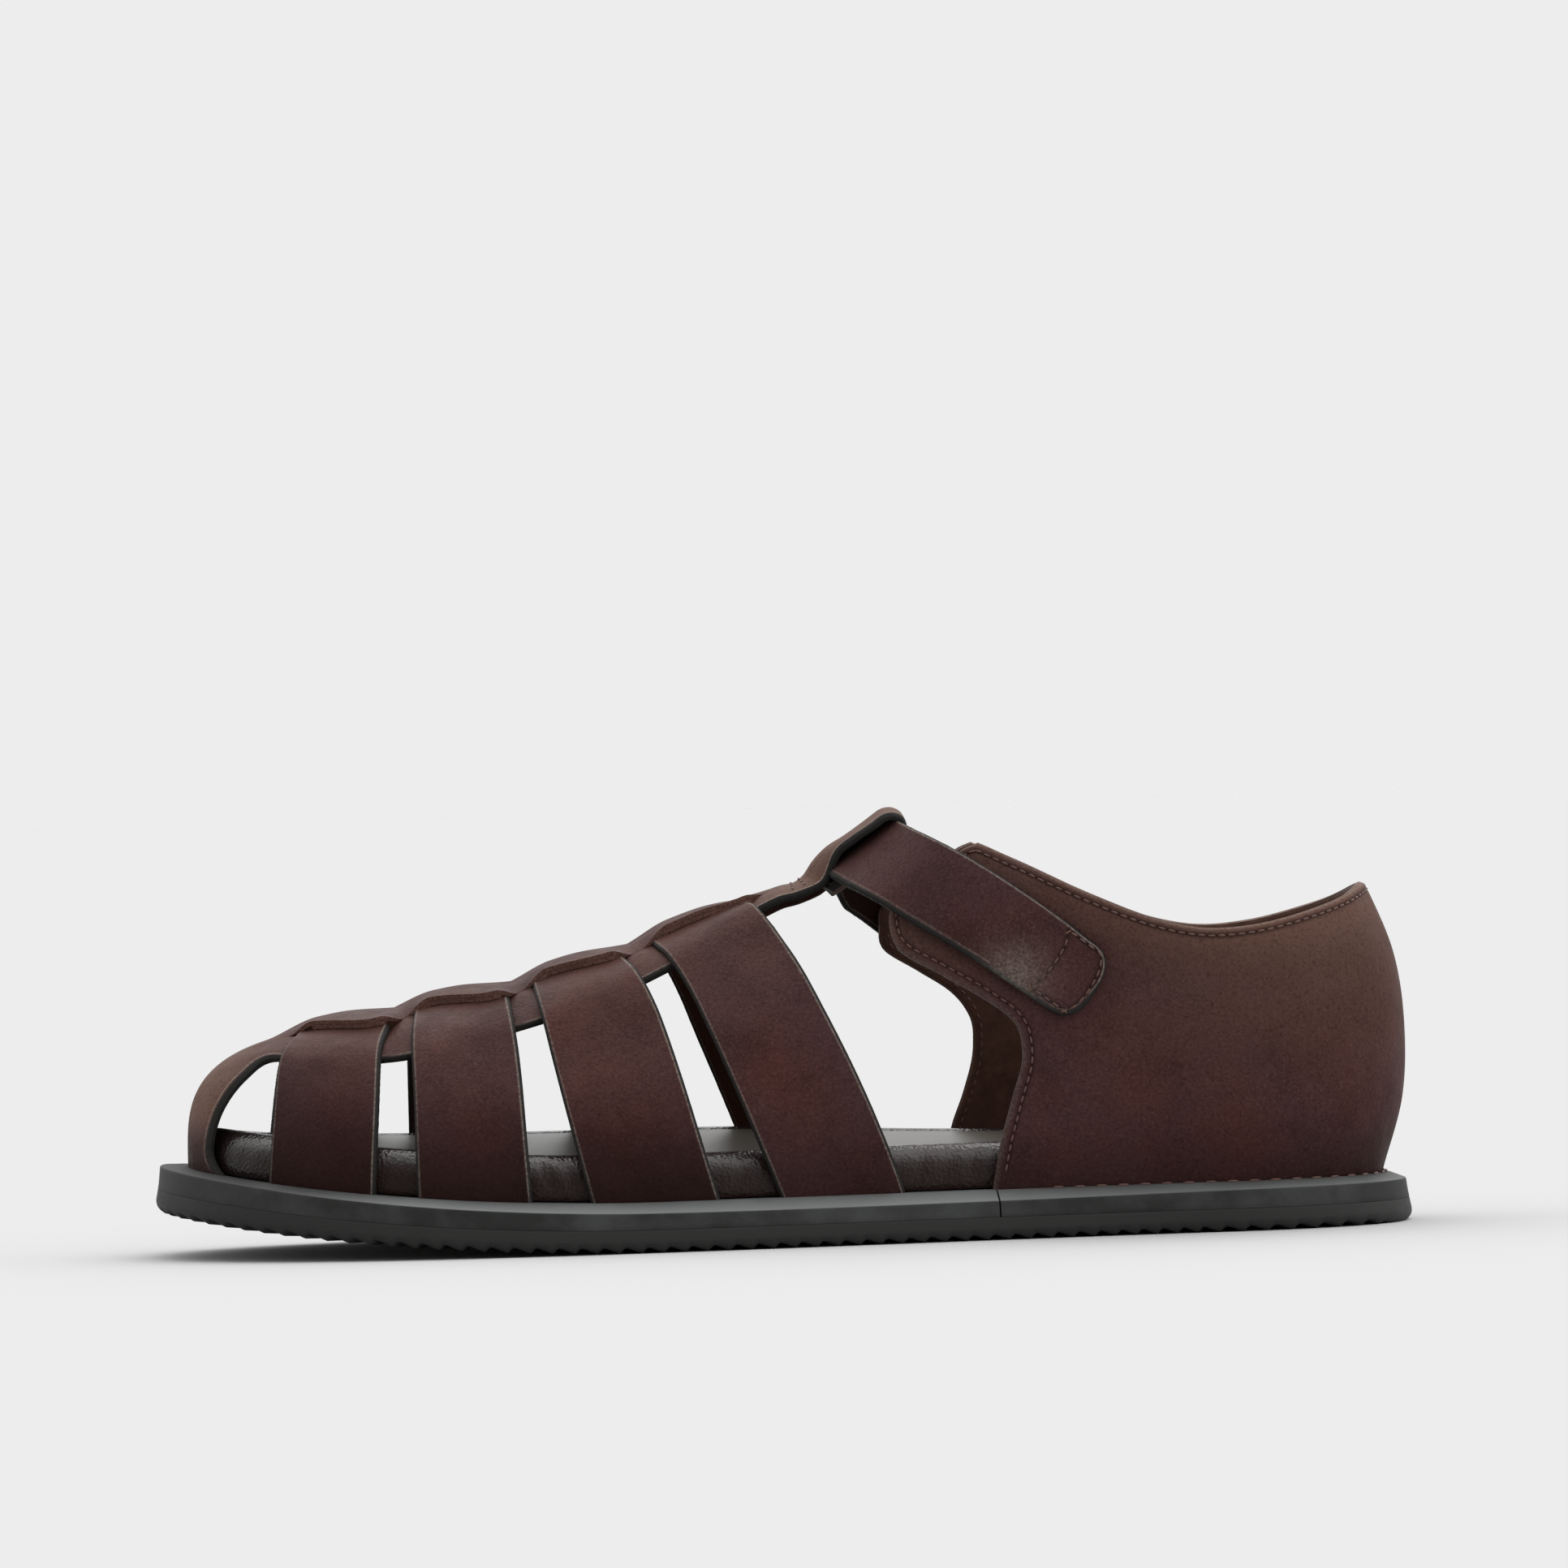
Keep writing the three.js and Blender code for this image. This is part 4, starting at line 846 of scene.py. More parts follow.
class SANDAL_OT_footbed(bpy.types.Operator):
    """Pads the footbed with its rolled edge, crease and smooth top"""

    bl_idname = "sandal.footbed"
    bl_label = "Footbed"

    # Rings from the plug in the welt round the rolled edge to the top: reach, height, top, crease.
    PROFILE = (
        (-7, WELT_BASE + 0.1, 0, 0), (-7, LEDGE, 0, 0), (-0.9, LEDGE, 0, 0), (-0.7, 12.2, 0, 0),
        (-0.65, 13.2, 0, 0), (-0.8, 14.5, 0, 0), (-1.1, 16.2, 0, 0), (-1.6, 18, 0, 0), (-2.25, 19.4, 0, 0),
        (-3.1, 20.6, 0, 0), (-4.2, 21.5, 0, 0), (-5.4, 21.95, 0, 0), (-6.3, 21.95, 0, 0),
        (-6.9, 21.7, 0, 0.6), (-7.3, 21.35, 0.2, 1), (-7.7, 21.4, 0.6, 0.8), (-8.3, 21.55, 1, 0.1),
        (-10, 21.5, 1, 0), (-14, 21.4, 1, 0),
    )

    def execute(self, context):
        count, half = FOOTBED_AROUND, FOOTBED_AROUND // 2
        x, y, out_x, out_y = outline(np.arange(count) / count * OUTLINE_LENGTH)
        rings, on_top, polish, groove = [], [], [], []
        for reach, height, top, crease in self.PROFILE:
            px, py = x + out_x * reach, y + out_y * reach
            share = np.clip((height - LEDGE) / (FOOTBED_TOP - LEDGE), 0, 1)
            pucker = np.zeros(count)
            for at, lean, deep in PUCKERS:
                away = (px - at - lean * (height - PUCKER_ROOT)) / PUCKER_WIDTH
                pucker += deep * np.exp(-(away**2)) * (out_y < 0)
            pucker *= np.exp(-(((height - PUCKER_LEVEL) / PUCKER_HEIGHT) ** 2))
            rings.append(np.stack([px, py - out_y * pucker, height + arch_rise(px, py) * share], -1))
            on_top.append(np.full(count, top))
            crown = float(smooth(CROWN_FROM, CROWN_TO, height)) * (1 - top)
            polish.append(np.full(count, max(SOCK_POLISH * top, crown)))
            # Painted shade in the crease, and on the edge towards the toe.
            groove.append(np.maximum(crease, (1 - top) * toe_shade(x)))
        points, faces = loft(np.stack(rings))
        index = np.arange(len(points)).reshape(-1, count)
        # The top: rows of points from each point of the last ring to the one across from it.
        left, right = rings[-1][1:half], rings[-1][:half:-1]
        shares = np.linspace(0, 1, FOOTBED_ACROSS + 1)[1:-1]
        inside = mix(left[:, None, :2], right[:, None, :2], shares[None, :, None])
        height = self.PROFILE[-1][1] + arch_rise(inside[..., 0], inside[..., 1]) * 0.95
        sock = np.concatenate([inside, height[..., None]], -1)
        inner = len(points) + np.arange(height.size).reshape(height.shape)
        grid = np.concatenate([index[-1, 1:half, None], inner, index[-1, :half:-1, None]], 1)
        faces = [*faces.tolist(), *[f[::-1] for f in ladder(index[0].tolist())], *quads(grid).tolist()]
        for k in range(FOOTBED_ACROSS):
            faces.append([index[-1, 0], grid[0, k], grid[0, k + 1]])
            faces.append([grid[-1, k], index[-1, half], grid[-1, k + 1]])
        ends = {"top": (on_top, 1.0), "polish": (polish, SOCK_POLISH), "groove": (groove, 0.0)}
        marks = {key: np.concatenate([*rows, np.full(height.size, end)]) for key, (rows, end) in ends.items()}
        points = np.concatenate([points, sock.reshape(-1, 3)])
        piece = make_piece("footbed_pad", points, faces, [finish("pebbled_leather")], marks, sharp=60)
        dress(piece, "footbed")
        return {"FINISHED"}


def strip_reach(x, across):
    """The centre strip's reach from the ridge to one side."""
    return np.where(across < 0, column(STRIP_WIDTHS, 1, x), column(STRIP_WIDTHS, 2, x))


def toe_edge(y):
    """The x of the outline at the front of the toe for a y."""
    x = mix(TOE_X, TOE_ARC_X + 15, np.linspace(0, 1, 1500) ** 3)
    outer, inner = last_sides(x)
    return np.interp(y, np.r_[outer[::-1], inner[1:]], np.r_[x[::-1], x[1:]])


def strap_edges(strap, u):
    """The x of a cross strap's front and rear edge along its way over the foot."""
    front, rear, lead = strap
    ways = []
    for foot, shoulder, top in (front, rear):
        rows = ((0, foot), (0.25, shoulder), (0.5, top), (0.75, shoulder - 0.7 * lead), (1, foot - lead))
        ways.append(column(rows, 1, u))
    return ways


def slit_share(x):
    """How far out the slits lie at an x, as a share of the strip's reach."""
    return column(SLIT_SHARES, 1, x, True)


def slit_window(x, inner):
    """How far the strip arches over the straps at an x along one slit, and how far the slit gapes there."""
    arch = np.zeros_like(np.asarray(x, float))
    gape = np.zeros_like(arch)
    for strap in CROSS_STRAPS:
        front, rear = strap_edges(strap, 0.57 if inner else 0.43)
        fall = 1 - smooth(mix(front, rear, 0.4), rear + 5.5, x)
        arch = np.maximum(arch, smooth(front - 7.5, front + 6, x) * fall)
        shut = 1 - smooth(rear - 2, rear + 2.8, x)
        gape = np.maximum(gape, smooth(front - 2.5, front + 4.5, x) * shut)
    return arch, gape


def edge_steps(whole, inset=(0.1, 0.25, 0.4, 0.55, 0.7, 0.85, 1.0, 1.3, 1.8, 2.5)):
    """Shares of a whole width with steps gathered near both its edges."""
    near = np.array([0, *inset]) / whole
    count = max(4, int(whole / 1.1))
    middle = np.linspace(near[-1], 1 - near[-1], count)
    return np.r_[near[:-1], middle, 1 - near[-2::-1]]


def lower_to_welt(points):
    """Presses the feet of the leather down onto the welt."""
    rise = points[..., 2] - LEDGE
    points[..., 2] -= (LEDGE - WELT_TOP) * (1 - smooth(0, 4, rise))
    return points


# Places on the outer side where the leather is burnished most: x, height, radius, strength.
BURNISHED = (
    (125.8, 42.6, 12, 1.0), (81.6, 35.7, 13, 0.7), (100, 22, 16, 0.45), (64, 62, 12, 0.4),
    (-1.5, 40.5, 9, 1.0), (6, 26, 8, 0.5), (-48.5, 49.4, 7, 0.9), (-38, 26, 8, 0.5), (-68.9, 28.3, 9, 0.8),
    (-78, 44, 6, 0.4), (-104, 30, 7, 0.35),
)


def burnish_marks(points):
    """How far the leather is burnished, by its place on the outer side."""
    outer = smooth(8, -8, points[..., 1])
    share = np.zeros(points.shape[:-1])
    for x, height, radius, strength in BURNISHED:
        away = np.hypot(points[..., 0] - x, points[..., 2] - height) / radius
        share = np.maximum(share, strength * np.exp(-(away**2)))
    return share * outer


# Soft creases of the leather on the outer side: x and height of both ends, width, depth.
CREASES = (
    (34, 58, 44, 52, 2.6, 0.35), (40, 50, 49, 47, 2.2, 0.3), (58, 70, 84, 58, 4.5, 0.4),
    (60, 32, 66, 20, 5, 0.4), (104, 60, 118, 50, 6, 0.5), (126, 26, 108, 18, 5, 0.45),
    (-134, 28, -131, 36, 1.8, 0.3),
    (-130, 34, -122, 41, 2.0, -0.3), (-3, 70, 6, 60, 3.0, 0.35), (-44, 58, -36, 50, 2.6, 0.3),
    (-76, 47, -66, 44, 2.4, 0.25), (-108, 38, -99, 36, 2.2, 0.25), (44, 68, 58, 58, 3.2, 0.4),
)


def creased(points, normal):
    """Points of a leather face pressed in along the creases."""
    flat = points[..., [0, 2]]
    depth = np.zeros(points.shape[:-1])
    for x0, z0, x1, z1, width, deep in CREASES:
        start, way = np.array((x0, z0)), np.array((x1 - x0, z1 - z0), float)
        share = np.clip((flat - start) @ way / (way @ way), 0, 1)
        away = np.linalg.norm(flat - start - share[..., None] * way, axis=-1)
        depth += deep * np.exp(-((away / width) ** 2)) * (1 - 0.7 * np.abs(2 * share - 1))
    return points - normal * (depth * smooth(2, -6, points[..., 1]))[..., None]


def both(front, back=None):
    """A mark for the front and the back of a sheet; the back's may be one number."""
    return np.r_[front.ravel(), front.ravel() if back is None else np.full(front.size, float(back))]


def edge_marks(near, width=1.0, wear_and_highlight=0.9):
    """Paint on a cut edge of a width, and the painted highlight on the arris beside it, by the distance from
    the edge.
    """
    line = wear_and_highlight * np.exp(-(((near - 0.78 * width) / 0.16) ** 2))
    return {"edge": both(1 - smooth(0.45 * width, 0.7 * width, near)), "arris": both(line)}


class SANDAL_OT_straps(bpy.types.Operator):
    """Cuts the centre strip with its loop and weaves the four cross straps through it"""

    bl_idname = "sandal.straps"
    bl_label = "Straps"

    def execute(self, context):
        self.centre_strip(context)
        for number, strap in enumerate(CROSS_STRAPS, 1):
            self.cross_strap(context, number, strap)
        return {"FINISHED"}

    def centre_strip(self, context):
        sizes = context.scene.sandal_sizes
        leather = sizes.leather / MM
        # Rows from the toe over the instep, up the ramp, round the fold and back under the loop.
        climb = 1 - np.cos(np.linspace(0, math.pi / 2, 56)[:-1])
        body_x = np.arange(TOE_ARC_X, LOOP_START_X, 0.6)
        ramp_x = np.linspace(LOOP_START_X, LOOP_FOLD_X, LOOP_ROWS)
        turn = np.linspace(-math.pi / 2, math.pi / 2, 15)[1:-1]
        fold = (LOOP_TOP - leather / 2) / 2
        end_x = LOOP_END_X + np.array((0.7, 0.4, 0.15, 0))
        back_x = np.r_[np.linspace(LOOP_FOLD_X, LOOP_END_X + 1, LOOP_BACK_ROWS), end_x]
        loop_x = np.r_[ramp_x, LOOP_FOLD_X + fold * np.cos(turn), back_x]
        fold_lift = leather / 2 + fold - fold * np.sin(turn)
        loop_lift = np.r_[column(LOOP_RISE, 1, ramp_x), fold_lift, np.full(len(back_x), leather / 2)]
        x = np.r_[mix(TOE_X, TOE_ARC_X, climb), body_x, loop_x][:, None]
        climbed = np.r_[climb, np.ones(len(body_x) + len(loop_x))][:, None]
        # Columns from each edge to the slit, and from the slit to the middle.
        rim = (0, 0.006, 0.018, 0.032, 0.046, 0.056, 0.066, 0.076, 0.095, 0.12)
        margin = np.r_[rim, np.linspace(0.15, 0.44, 7), 0.47, 0.488, 0.4975]
        half = np.r_[margin, 0.5025, 0.512, 0.53, 0.56, np.linspace(0.6, 1, 10)]
        across = np.r_[half - 1, (1 - half)[-2::-1]][None, :]
        cuts = (len(margin), across.shape[1] - len(margin))
        far = np.abs(across)
        # The flat place of each point, and the last under it.
        height, ridge_y, _ = last_ridge(x)
        reach = strip_reach(x, across) + STRIP_FLARE * (1 - smooth(0, FLARE_RISE, height))
        share = slit_share(x)
        spread = np.where(far < 0.5, 2 * far * share, 1 - 2 * (1 - far) * (1 - share))
        y = ridge_y + np.sign(across) * spread * reach
        sag = LOOP_SAG * across**2 * smooth(LOOP_START_X, LOOP_RAMP_X, x)
        sag = sag * (1 - 0.6 * smooth(18, LOOP_FOLD_X, x))
        place = np.where(climbed < 1, mix(toe_edge(y), TOE_ARC_X, climbed), x + sag)
        base = last_over(place, y)
        base[0, :, 2] = LEDGE
        step = 0.05
        along = last_over(place + step, y) - last_over(place - step, y)
        out = np.cross(along, last_over(place, y + step) - last_over(place, y - step))
        out /= np.linalg.norm(out, axis=-1, keepdims=True)
        toe_rows = len(climb) + 8
        out[:toe_rows] = facing(base)[:toe_rows]
        # The middle arches over the straps, the margins dip under them.
        slits = slit_window(place, False), slit_window(place, True)
        arch, window = (np.where(across < 0, slits[0][k], slits[1][k]) for k in (0, 1))
        lip_lift = window * (leather + LIP_PLAY - 1.1 * smooth(-16, -5, place))
        bulge = mix(arch * (leather + STRIP_PLAY), lip_lift, np.minimum(2 * far, 1) ** 3)
        dip = -window * (leather - MARGIN_DIP) * (1 - smooth(0, 0.75, 2 * far - 1))
        lift = np.tile(column(LOOP_RISE, 1, x), (1, y.shape[1]))
        crown = LOOP_CROWN[0] * smooth(14, 24, loop_x) - LOOP_CROWN[1] * np.exp(-(((loop_x - 11) / 4) ** 2))
        lift[-len(loop_x) :] = loop_lift[:, None] + (crown * loop_lift / LOOP_TOP)[:, None] * across**2
        lift += np.where(far < 0.5, bulge, dip)
        centre = lower_to_welt(base + out * lift[..., None])
        normal = facing(centre, cuts)
        near = edge_distance(centre, centre[:, 0], centre[:, -1], centre[-1])
        # The painted edge is rounder at the toe and on the loop.
        bead = 1 + 1.6 * (1 - smooth(-126, -108, place)) + 1.1 * smooth(12, 26, place)
        thick = leather / 2 * rounded(near, sizes.edge_round / MM * bead)
        # The cut edge of each slit hangs over the strap with a gap under it, darkened by painted shadow: two
        # more columns a side.
        gaping = smooth(0.03, 0.35, window)
        raw, gap = np.zeros_like(near), np.zeros_like(near)
        lips = []
        sides = (cuts[0], cuts[1] - 1)
        for lip, beyond in zip(sides, (cuts[0] - 1, cuts[1])):
            raw[:, lip] = gaping[:, lip]
            gap[:, beyond] = gaping[:, beyond]
            drop = normal[:, lip] * (leather * 0.45 * gaping[:, lip] + 0.02)[:, None]
            level = centre[:, lip] + normal[:, lip] * thick[:, lip, None] - drop
            strap_top = centre[:, beyond] + normal[:, beyond] * thick[:, beyond, None]
            lips.append([mix(level, strap_top, part) for part in (0.01, 0.035)])

        def insert(grid, columns):
            return np.insert(grid, np.repeat(cuts, 2), np.stack(columns, 1), axis=1)

        centre = insert(centre, (lips[0][1], lips[0][0], lips[1][0], lips[1][1]))
        thick = insert(thick, [np.full(len(thick), 0.05)] * 4)
        near, bead, normal, across = (
            insert(grid, [grid[:, k] for k in np.repeat(sides, 2)]) for grid in (near, bead, normal, across)
        )
        first, last, shut = raw[:, sides[0]], raw[:, sides[1]], np.zeros(len(raw))
        gap = insert(gap, (first, shut, shut, last))
        raw = insert(raw, (shut, first, last, shut))
        points, faces = sheet(centre, normal, thick)
        rise = centre[..., 2] - LEDGE
        # The toe's front gets painted light; from the ramp on, the strip is paler with bloom and painted
        # sheen.
        toe_highlight = 0.8 * (1 - smooth(-134, -114, centre[..., 0])) * smooth(5, 12, rise)
        # Painted shadow in the gaps under the slits, painted shade on the back and towards the welt.
        marks = {
            **edge_marks(near, bead), "raw": both(raw), "groove": both(gap, 0.8), "flesh": both(0 * near, 1),
            "low": both(0.8 * (1 - smooth(0, 14, rise))), "burnish": both(burnish_marks(centre)),
            "bloom": both(toe_highlight + 0.7 * smooth(-8, 6, centre[..., 0])),
        }
        piece = make_piece("centre_strip", points, faces, [finish("waxed_leather")], marks)
        dress(piece, "upper_straps")
        surface = centre + normal * (thick + 0.05)[..., None]
        keep = np.abs(across[0]) < 0.8
        lines, outs = [], []
        for at in LOOP_STITCHES_X:
            row = len(climb) + len(body_x) + int(np.argmin(np.abs(ramp_x - at)))
            lines += walk(surface[row, keep], SEAM_STEP)
            outs.append(np.tile(normal[row, keep].mean(0), (len(lines[-1]), 1)))
        sew("loop_stitches", "upper_straps", lines, outs, sizes.stitch_pitch, 0.66)

    def cross_strap(self, context, number, strap):
        sizes = context.scene.sandal_sizes
        leather = sizes.leather / MM
        u = np.linspace(0, 1, 241)[:, None]
        front, rear = strap_edges(strap, u)
        v = edge_steps(float(np.mean(rear - front)))[None, :]
        x = mix(front, rear, v)
        base = last_round(x, u * math.pi * np.ones_like(v))
        normal = -facing(base)
        from_ridge = base[..., 1] - last_ridge(x)[1]
        away = np.abs(from_ridge)
        reach, share = strip_reach(x, from_ridge), slit_share(x)
        # The strap lies over the strip's margin and under its middle.
        slit = (away / reach - share) / (1 - share)
        outside = leather * (1 - smooth(-3, 13, away - reach))
        edge_lift = leather * (1 - float(smooth(-3, 13, 0)))
        margin = mix(MARGIN_DIP, edge_lift, smooth(0, 0.9, slit))
        within = MARGIN_DIP * (1 - smooth(0, 2.5, share * reach - away))
        lift = np.where(slit > 1, outside, np.where(slit > 0, margin, within))
        centre = lower_to_welt(base + normal * (lift + leather / 2)[..., None])
        centre = creased(centre, -facing(centre))
        near = edge_distance(centre, centre[:, 0], centre[:, -1])
        points, faces = sheet(centre, -facing(centre), leather / 2 * rounded(near, sizes.edge_round / MM))
        strength, height = STRAP_FOOT_SHADE[number - 1]
        # Painted shade towards each strap's foot and on its back; the painted highlight on the arris is
        # weaker on the front edge.
        marks = {
            **edge_marks(near, wear_and_highlight=np.where(v < 0.5, 0.4, 0.8)), "burnish": both(burnish_marks(centre)),
            "low": both(strength * (1 - smooth(0, height, centre[..., 2] - LEDGE))),
            "flesh": both(0 * near, 1), "groove": both(0 * near, 0.6),
        }
        piece = make_piece(f"cross_strap_{number}", points, faces[:, ::-1], [finish("waxed_leather")], marks)
        dress(piece, "upper_straps")


class SANDAL_OT_quarter(bpy.types.Operator):
    """Shapes the lined quarter round the heel and sews its edges"""

    bl_idname = "sandal.quarter"
    bl_label = "Quarter"

    def execute(self, context):
        sizes = context.scene.sandal_sizes
        wall = sizes.quarter_wall / MM
        near_edge = np.array((0, 0.12, 0.35, 0.7, 1.1, 1.5, 1.9, 2.3, 2.8, 3.6, 4.8))
        half = np.r_[near_edge * 0.0053, np.linspace(0.033, 0.5, 95)]
        u = np.r_[half, 1 - half[-2::-1]][:, None]
        v = np.r_[np.linspace(0, 0.92, 70), 1 - near_edge[::-1] * 0.0145][None, :]
        inner = u > 0.5
        back = 1 - np.abs(2 * u - 1)
        rise = v * QUARTER_TOP
        front_x = np.where(inner, column(QUARTER_FRONT, 2, rise), column(QUARTER_FRONT, 1, rise))
        place = outline(mix(distance_to(front_x, inner), OUTLINE_HEEL, back))
        x = place[0]
        keep = 1 - smooth(0, QUARTER_FRONT_REACH, back)
        top = column(QUARTER_TOPLINE, 1, x) + (QUARTER_TOP - column(QUARTER_TOPLINE, 1, front_x)) * keep
        rise = v * top
        base = last_wall(*place, rise)
        normal = facing(base)
        centre = creased(lower_to_welt(base + normal * (wall / 2)), normal)
        near = edge_distance(centre, centre[0], centre[:, -1], centre[-1])
        inset = sizes.stitch_inset / MM
        groove = np.exp(-(((near - inset) / 0.5) ** 2)) * smooth(3, 6, rise)
        points, faces = sheet(centre, normal, wall / 2 * rounded(near, wall / 2), 0.2 * groove)
        # The heel gets painted light, and the topline a paler bloom with painted sheen.
        bloom = 0.4 * smooth(14, 52, rise) * smooth(60, 120, x)
        bloom += 0.3 * smooth(36, 58, rise) * (1 - smooth(2, 16, near))
        # Painted shade darkens the quarter towards the welt.
        low = 0.6 * (1 - smooth(0, 20, rise)) * np.ones_like(near)
        # A painted highlight on the rolled topline, and painted shade in the stitch grooves.
        marks = {
            "arris": both(0.2 * (1 - smooth(0.2, 1.2, near))), "bloom": both(bloom), "low": both(low),
            "burnish": both(burnish_marks(centre)), "groove": both(groove, 0),
        }
        # The faces of the back, which come last, are the lining.
        lined = (u.size - 1) * (v.size - 1)
        material_index = np.r_[np.zeros(len(faces) - lined, int), np.ones(lined, int)]
        materials = [finish("waxed_leather"), finish("suede_lining")]
        piece = make_piece("quarter_leather", points, faces, materials, marks, material_index)
        dress(piece, "heel_quarter")
        rims = [np.concatenate([grid[0, :-1], grid[:-1, -1], grid[-1, ::-1]]) for grid in (centre, normal)]
        line, out = walk(rims[0], SEAM_STEP, rims[1])
        seams = [edge_offset(line, out, inset, lift) for lift in (wall / 2 - STITCH_SINK, 0.08 - wall / 2)]
        keep = seams[0][:, 2] > LEDGE + 4
        lines = [seam[keep] for seam in seams]
        sew("quarter_stitches", "heel_quarter", lines, [out[keep]] * 2, sizes.stitch_pitch, 0.82)
        outer_x, inner_x, reach, count = WELT_ROW
        place = outline(np.linspace(distance_to(outer_x, False), distance_to(inner_x, True), count))
        row, up = beside(place, reach, WELT_TOP + 0.08), np.tile((0.0, 0.0, 1.0), (count, 1))
        sew("welt_stitches", "heel_quarter", [row], [up], sizes.welt_pitch, 0.56, 0.65 * MM)
        return {"FINISHED"}


class SANDAL_OT_ankle_strap(bpy.types.Operator):
    """Leads the ankle strap through the loop to its fastened tab"""

    bl_idname = "sandal.ankle_strap"
    bl_label = "Ankle strap"

    def base(self, u, v, plain=False):
        """Points on the last under the strap, from the tab over the ridge to the sewn end."""
        inner = u > 0.5
        far = np.abs(2 * u - 1)
        along = 1 - np.cos(far * math.pi / 2)
        start = mix(*ANKLE_RIDGE, v)
        ends = []
        for low, high, tip in (ANKLE_TAB, ANKLE_SEWN):
            bow = tip * (1 - (2 * v - 1) ** 2 if plain else falloff(2 * v - 1, ANKLE_TIP[2]))
            ends.append([mix(low[k], high[k], v) + ANKLE_TIP[k] * bow for k in (0, 1)])
        end_x, end_rise = (np.where(inner, ends[1][k], ends[0][k]) for k in (0, 1))
        x = mix(start, end_x, along)
        sag = np.where(inner, ANKLE_SAG, 0) * smooth(0.01, 0.13, along) * (1 - smooth(0.3, 0.95, along))
        arch = mix(*ANKLE_ARCH, v) * 4 * along * (1 - along) - sag
        rise = mix(last_ridge(start)[0], end_rise, along) + arch
        _, _, out_x, out_y = outline(distance_to(x, inner))
        outer_y, inner_y = last_sides(x)
        return last_wall(x, np.where(inner, inner_y, outer_y), out_x, out_y, rise)

    def outward(self, u, v):
        """Unit normals under the strap, from its shape without the rounded corners."""
        step = 1e-3
        u, v = np.clip(u, 2 * step, 1 - 2 * step), np.clip(v, 2 * step, 1 - 2 * step)
        along = self.base(u + step, v, True) - self.base(u - step, v, True)
        across = self.base(u, v + step, True) - self.base(u, v - step, True)
        out = -np.cross(along, across)
        return out / np.linalg.norm(out, axis=-1, keepdims=True)

    def execute(self, context):
        sizes = context.scene.sandal_sizes
        leather = sizes.ankle_leather / MM
        tip = np.array((0, 0.1, 0.25, 0.4, 0.6, 0.8, 1.0, 1.3, 1.7, 2.1, 2.7)) / 190
        half = np.r_[tip, np.linspace(0.0165, 0.09, 45), np.linspace(0.095, 0.5, 75)]
        u = np.r_[half, 1 - half[-2::-1]][:, None]
        v = edge_steps(19.0, (0.1, 0.25, 0.4, 0.55, 0.7, 0.85, 1.0, 1.3, 1.6, 1.9, 2.2, 2.5, 2.9))[None, :]
        normal = self.outward(u, v)
        lift = mix(ANKLE_LIFT_LOOP, ANKLE_LIFT_EAR, smooth(*ANKLE_EAR_SHARES, np.abs(2 * u - 1)))
        sink = ANKLE_SINK * (1 - smooth(0.02, 0.12, np.minimum(u, 1 - u)))
        centre = self.base(u, v) + normal * (lift - sink + leather / 2)[..., None]
        near = edge_distance(centre, centre[:, 0], centre[:, -1], centre[0], centre[-1])
        on_top = ANKLE_LIFT_EAR - ANKLE_SINK + leather - STITCH_SINK / 2
        lines, outs = [], []
        for inner, (near_u, far_u) in enumerate(ANKLE_BOXES):
            side, run = np.linspace(*ANKLE_BOX_SIDES, 30), np.linspace(near_u, far_u, 30)
            path_u = np.r_[np.full(30, near_u), run[1:], np.full(29, far_u), run[-2::-1]]
            path_u = 1 - path_u if inner else path_u
            path_v = np.r_[side, np.full(29, side[-1]), side[-2::-1], np.full(29, side[0])]
            out = self.outward(path_u, path_v)
            line, out = walk(self.base(path_u, path_v) + out * on_top, SEAM_STEP, out)
            lines.append(line)
            outs.append(out)
        groove = np.exp(-((edge_distance(centre + normal * (leather / 2), *lines) / 0.55) ** 2))
        thick = leather / 2 * rounded(near, sizes.edge_round / MM)
        points, faces = sheet(centre, normal, thick, 0.18 * groove)
        # The lower edge shows a wider band of paint, the upper one a stronger painted highlight on its arris.
        upper = smooth(0.3, 0.7, v)
        marks = edge_marks(near, mix(1.7, 0.7, upper), mix(0.4, 0.8, upper))
        # A painted highlight on the tab, put into the arris mark.
        x, height, radius, strength = TAB_HIGHLIGHT
        away = np.hypot(centre[..., 0] - x, centre[..., 2] - height) / radius
        polish = strength * np.exp(-(away**2)) * (centre[..., 1] < 0)
        marks["arris"] = np.maximum(marks["arris"], both(polish, 0))
        # Painted shade in the stitch grooves and on the strap's back.
        marks |= {"groove": both(groove, 0), "burnish": both(burnish_marks(centre)), "low": both(0 * near, 1)}
        piece = make_piece("ankle_strap_leather", points, faces[:, ::-1], [finish("waxed_leather")], marks)
        dress(piece, "ankle_strap")
        sew("tab_stitches", "ankle_strap", lines, outs, sizes.stitch_pitch, 0.82)
        return {"FINISHED"}


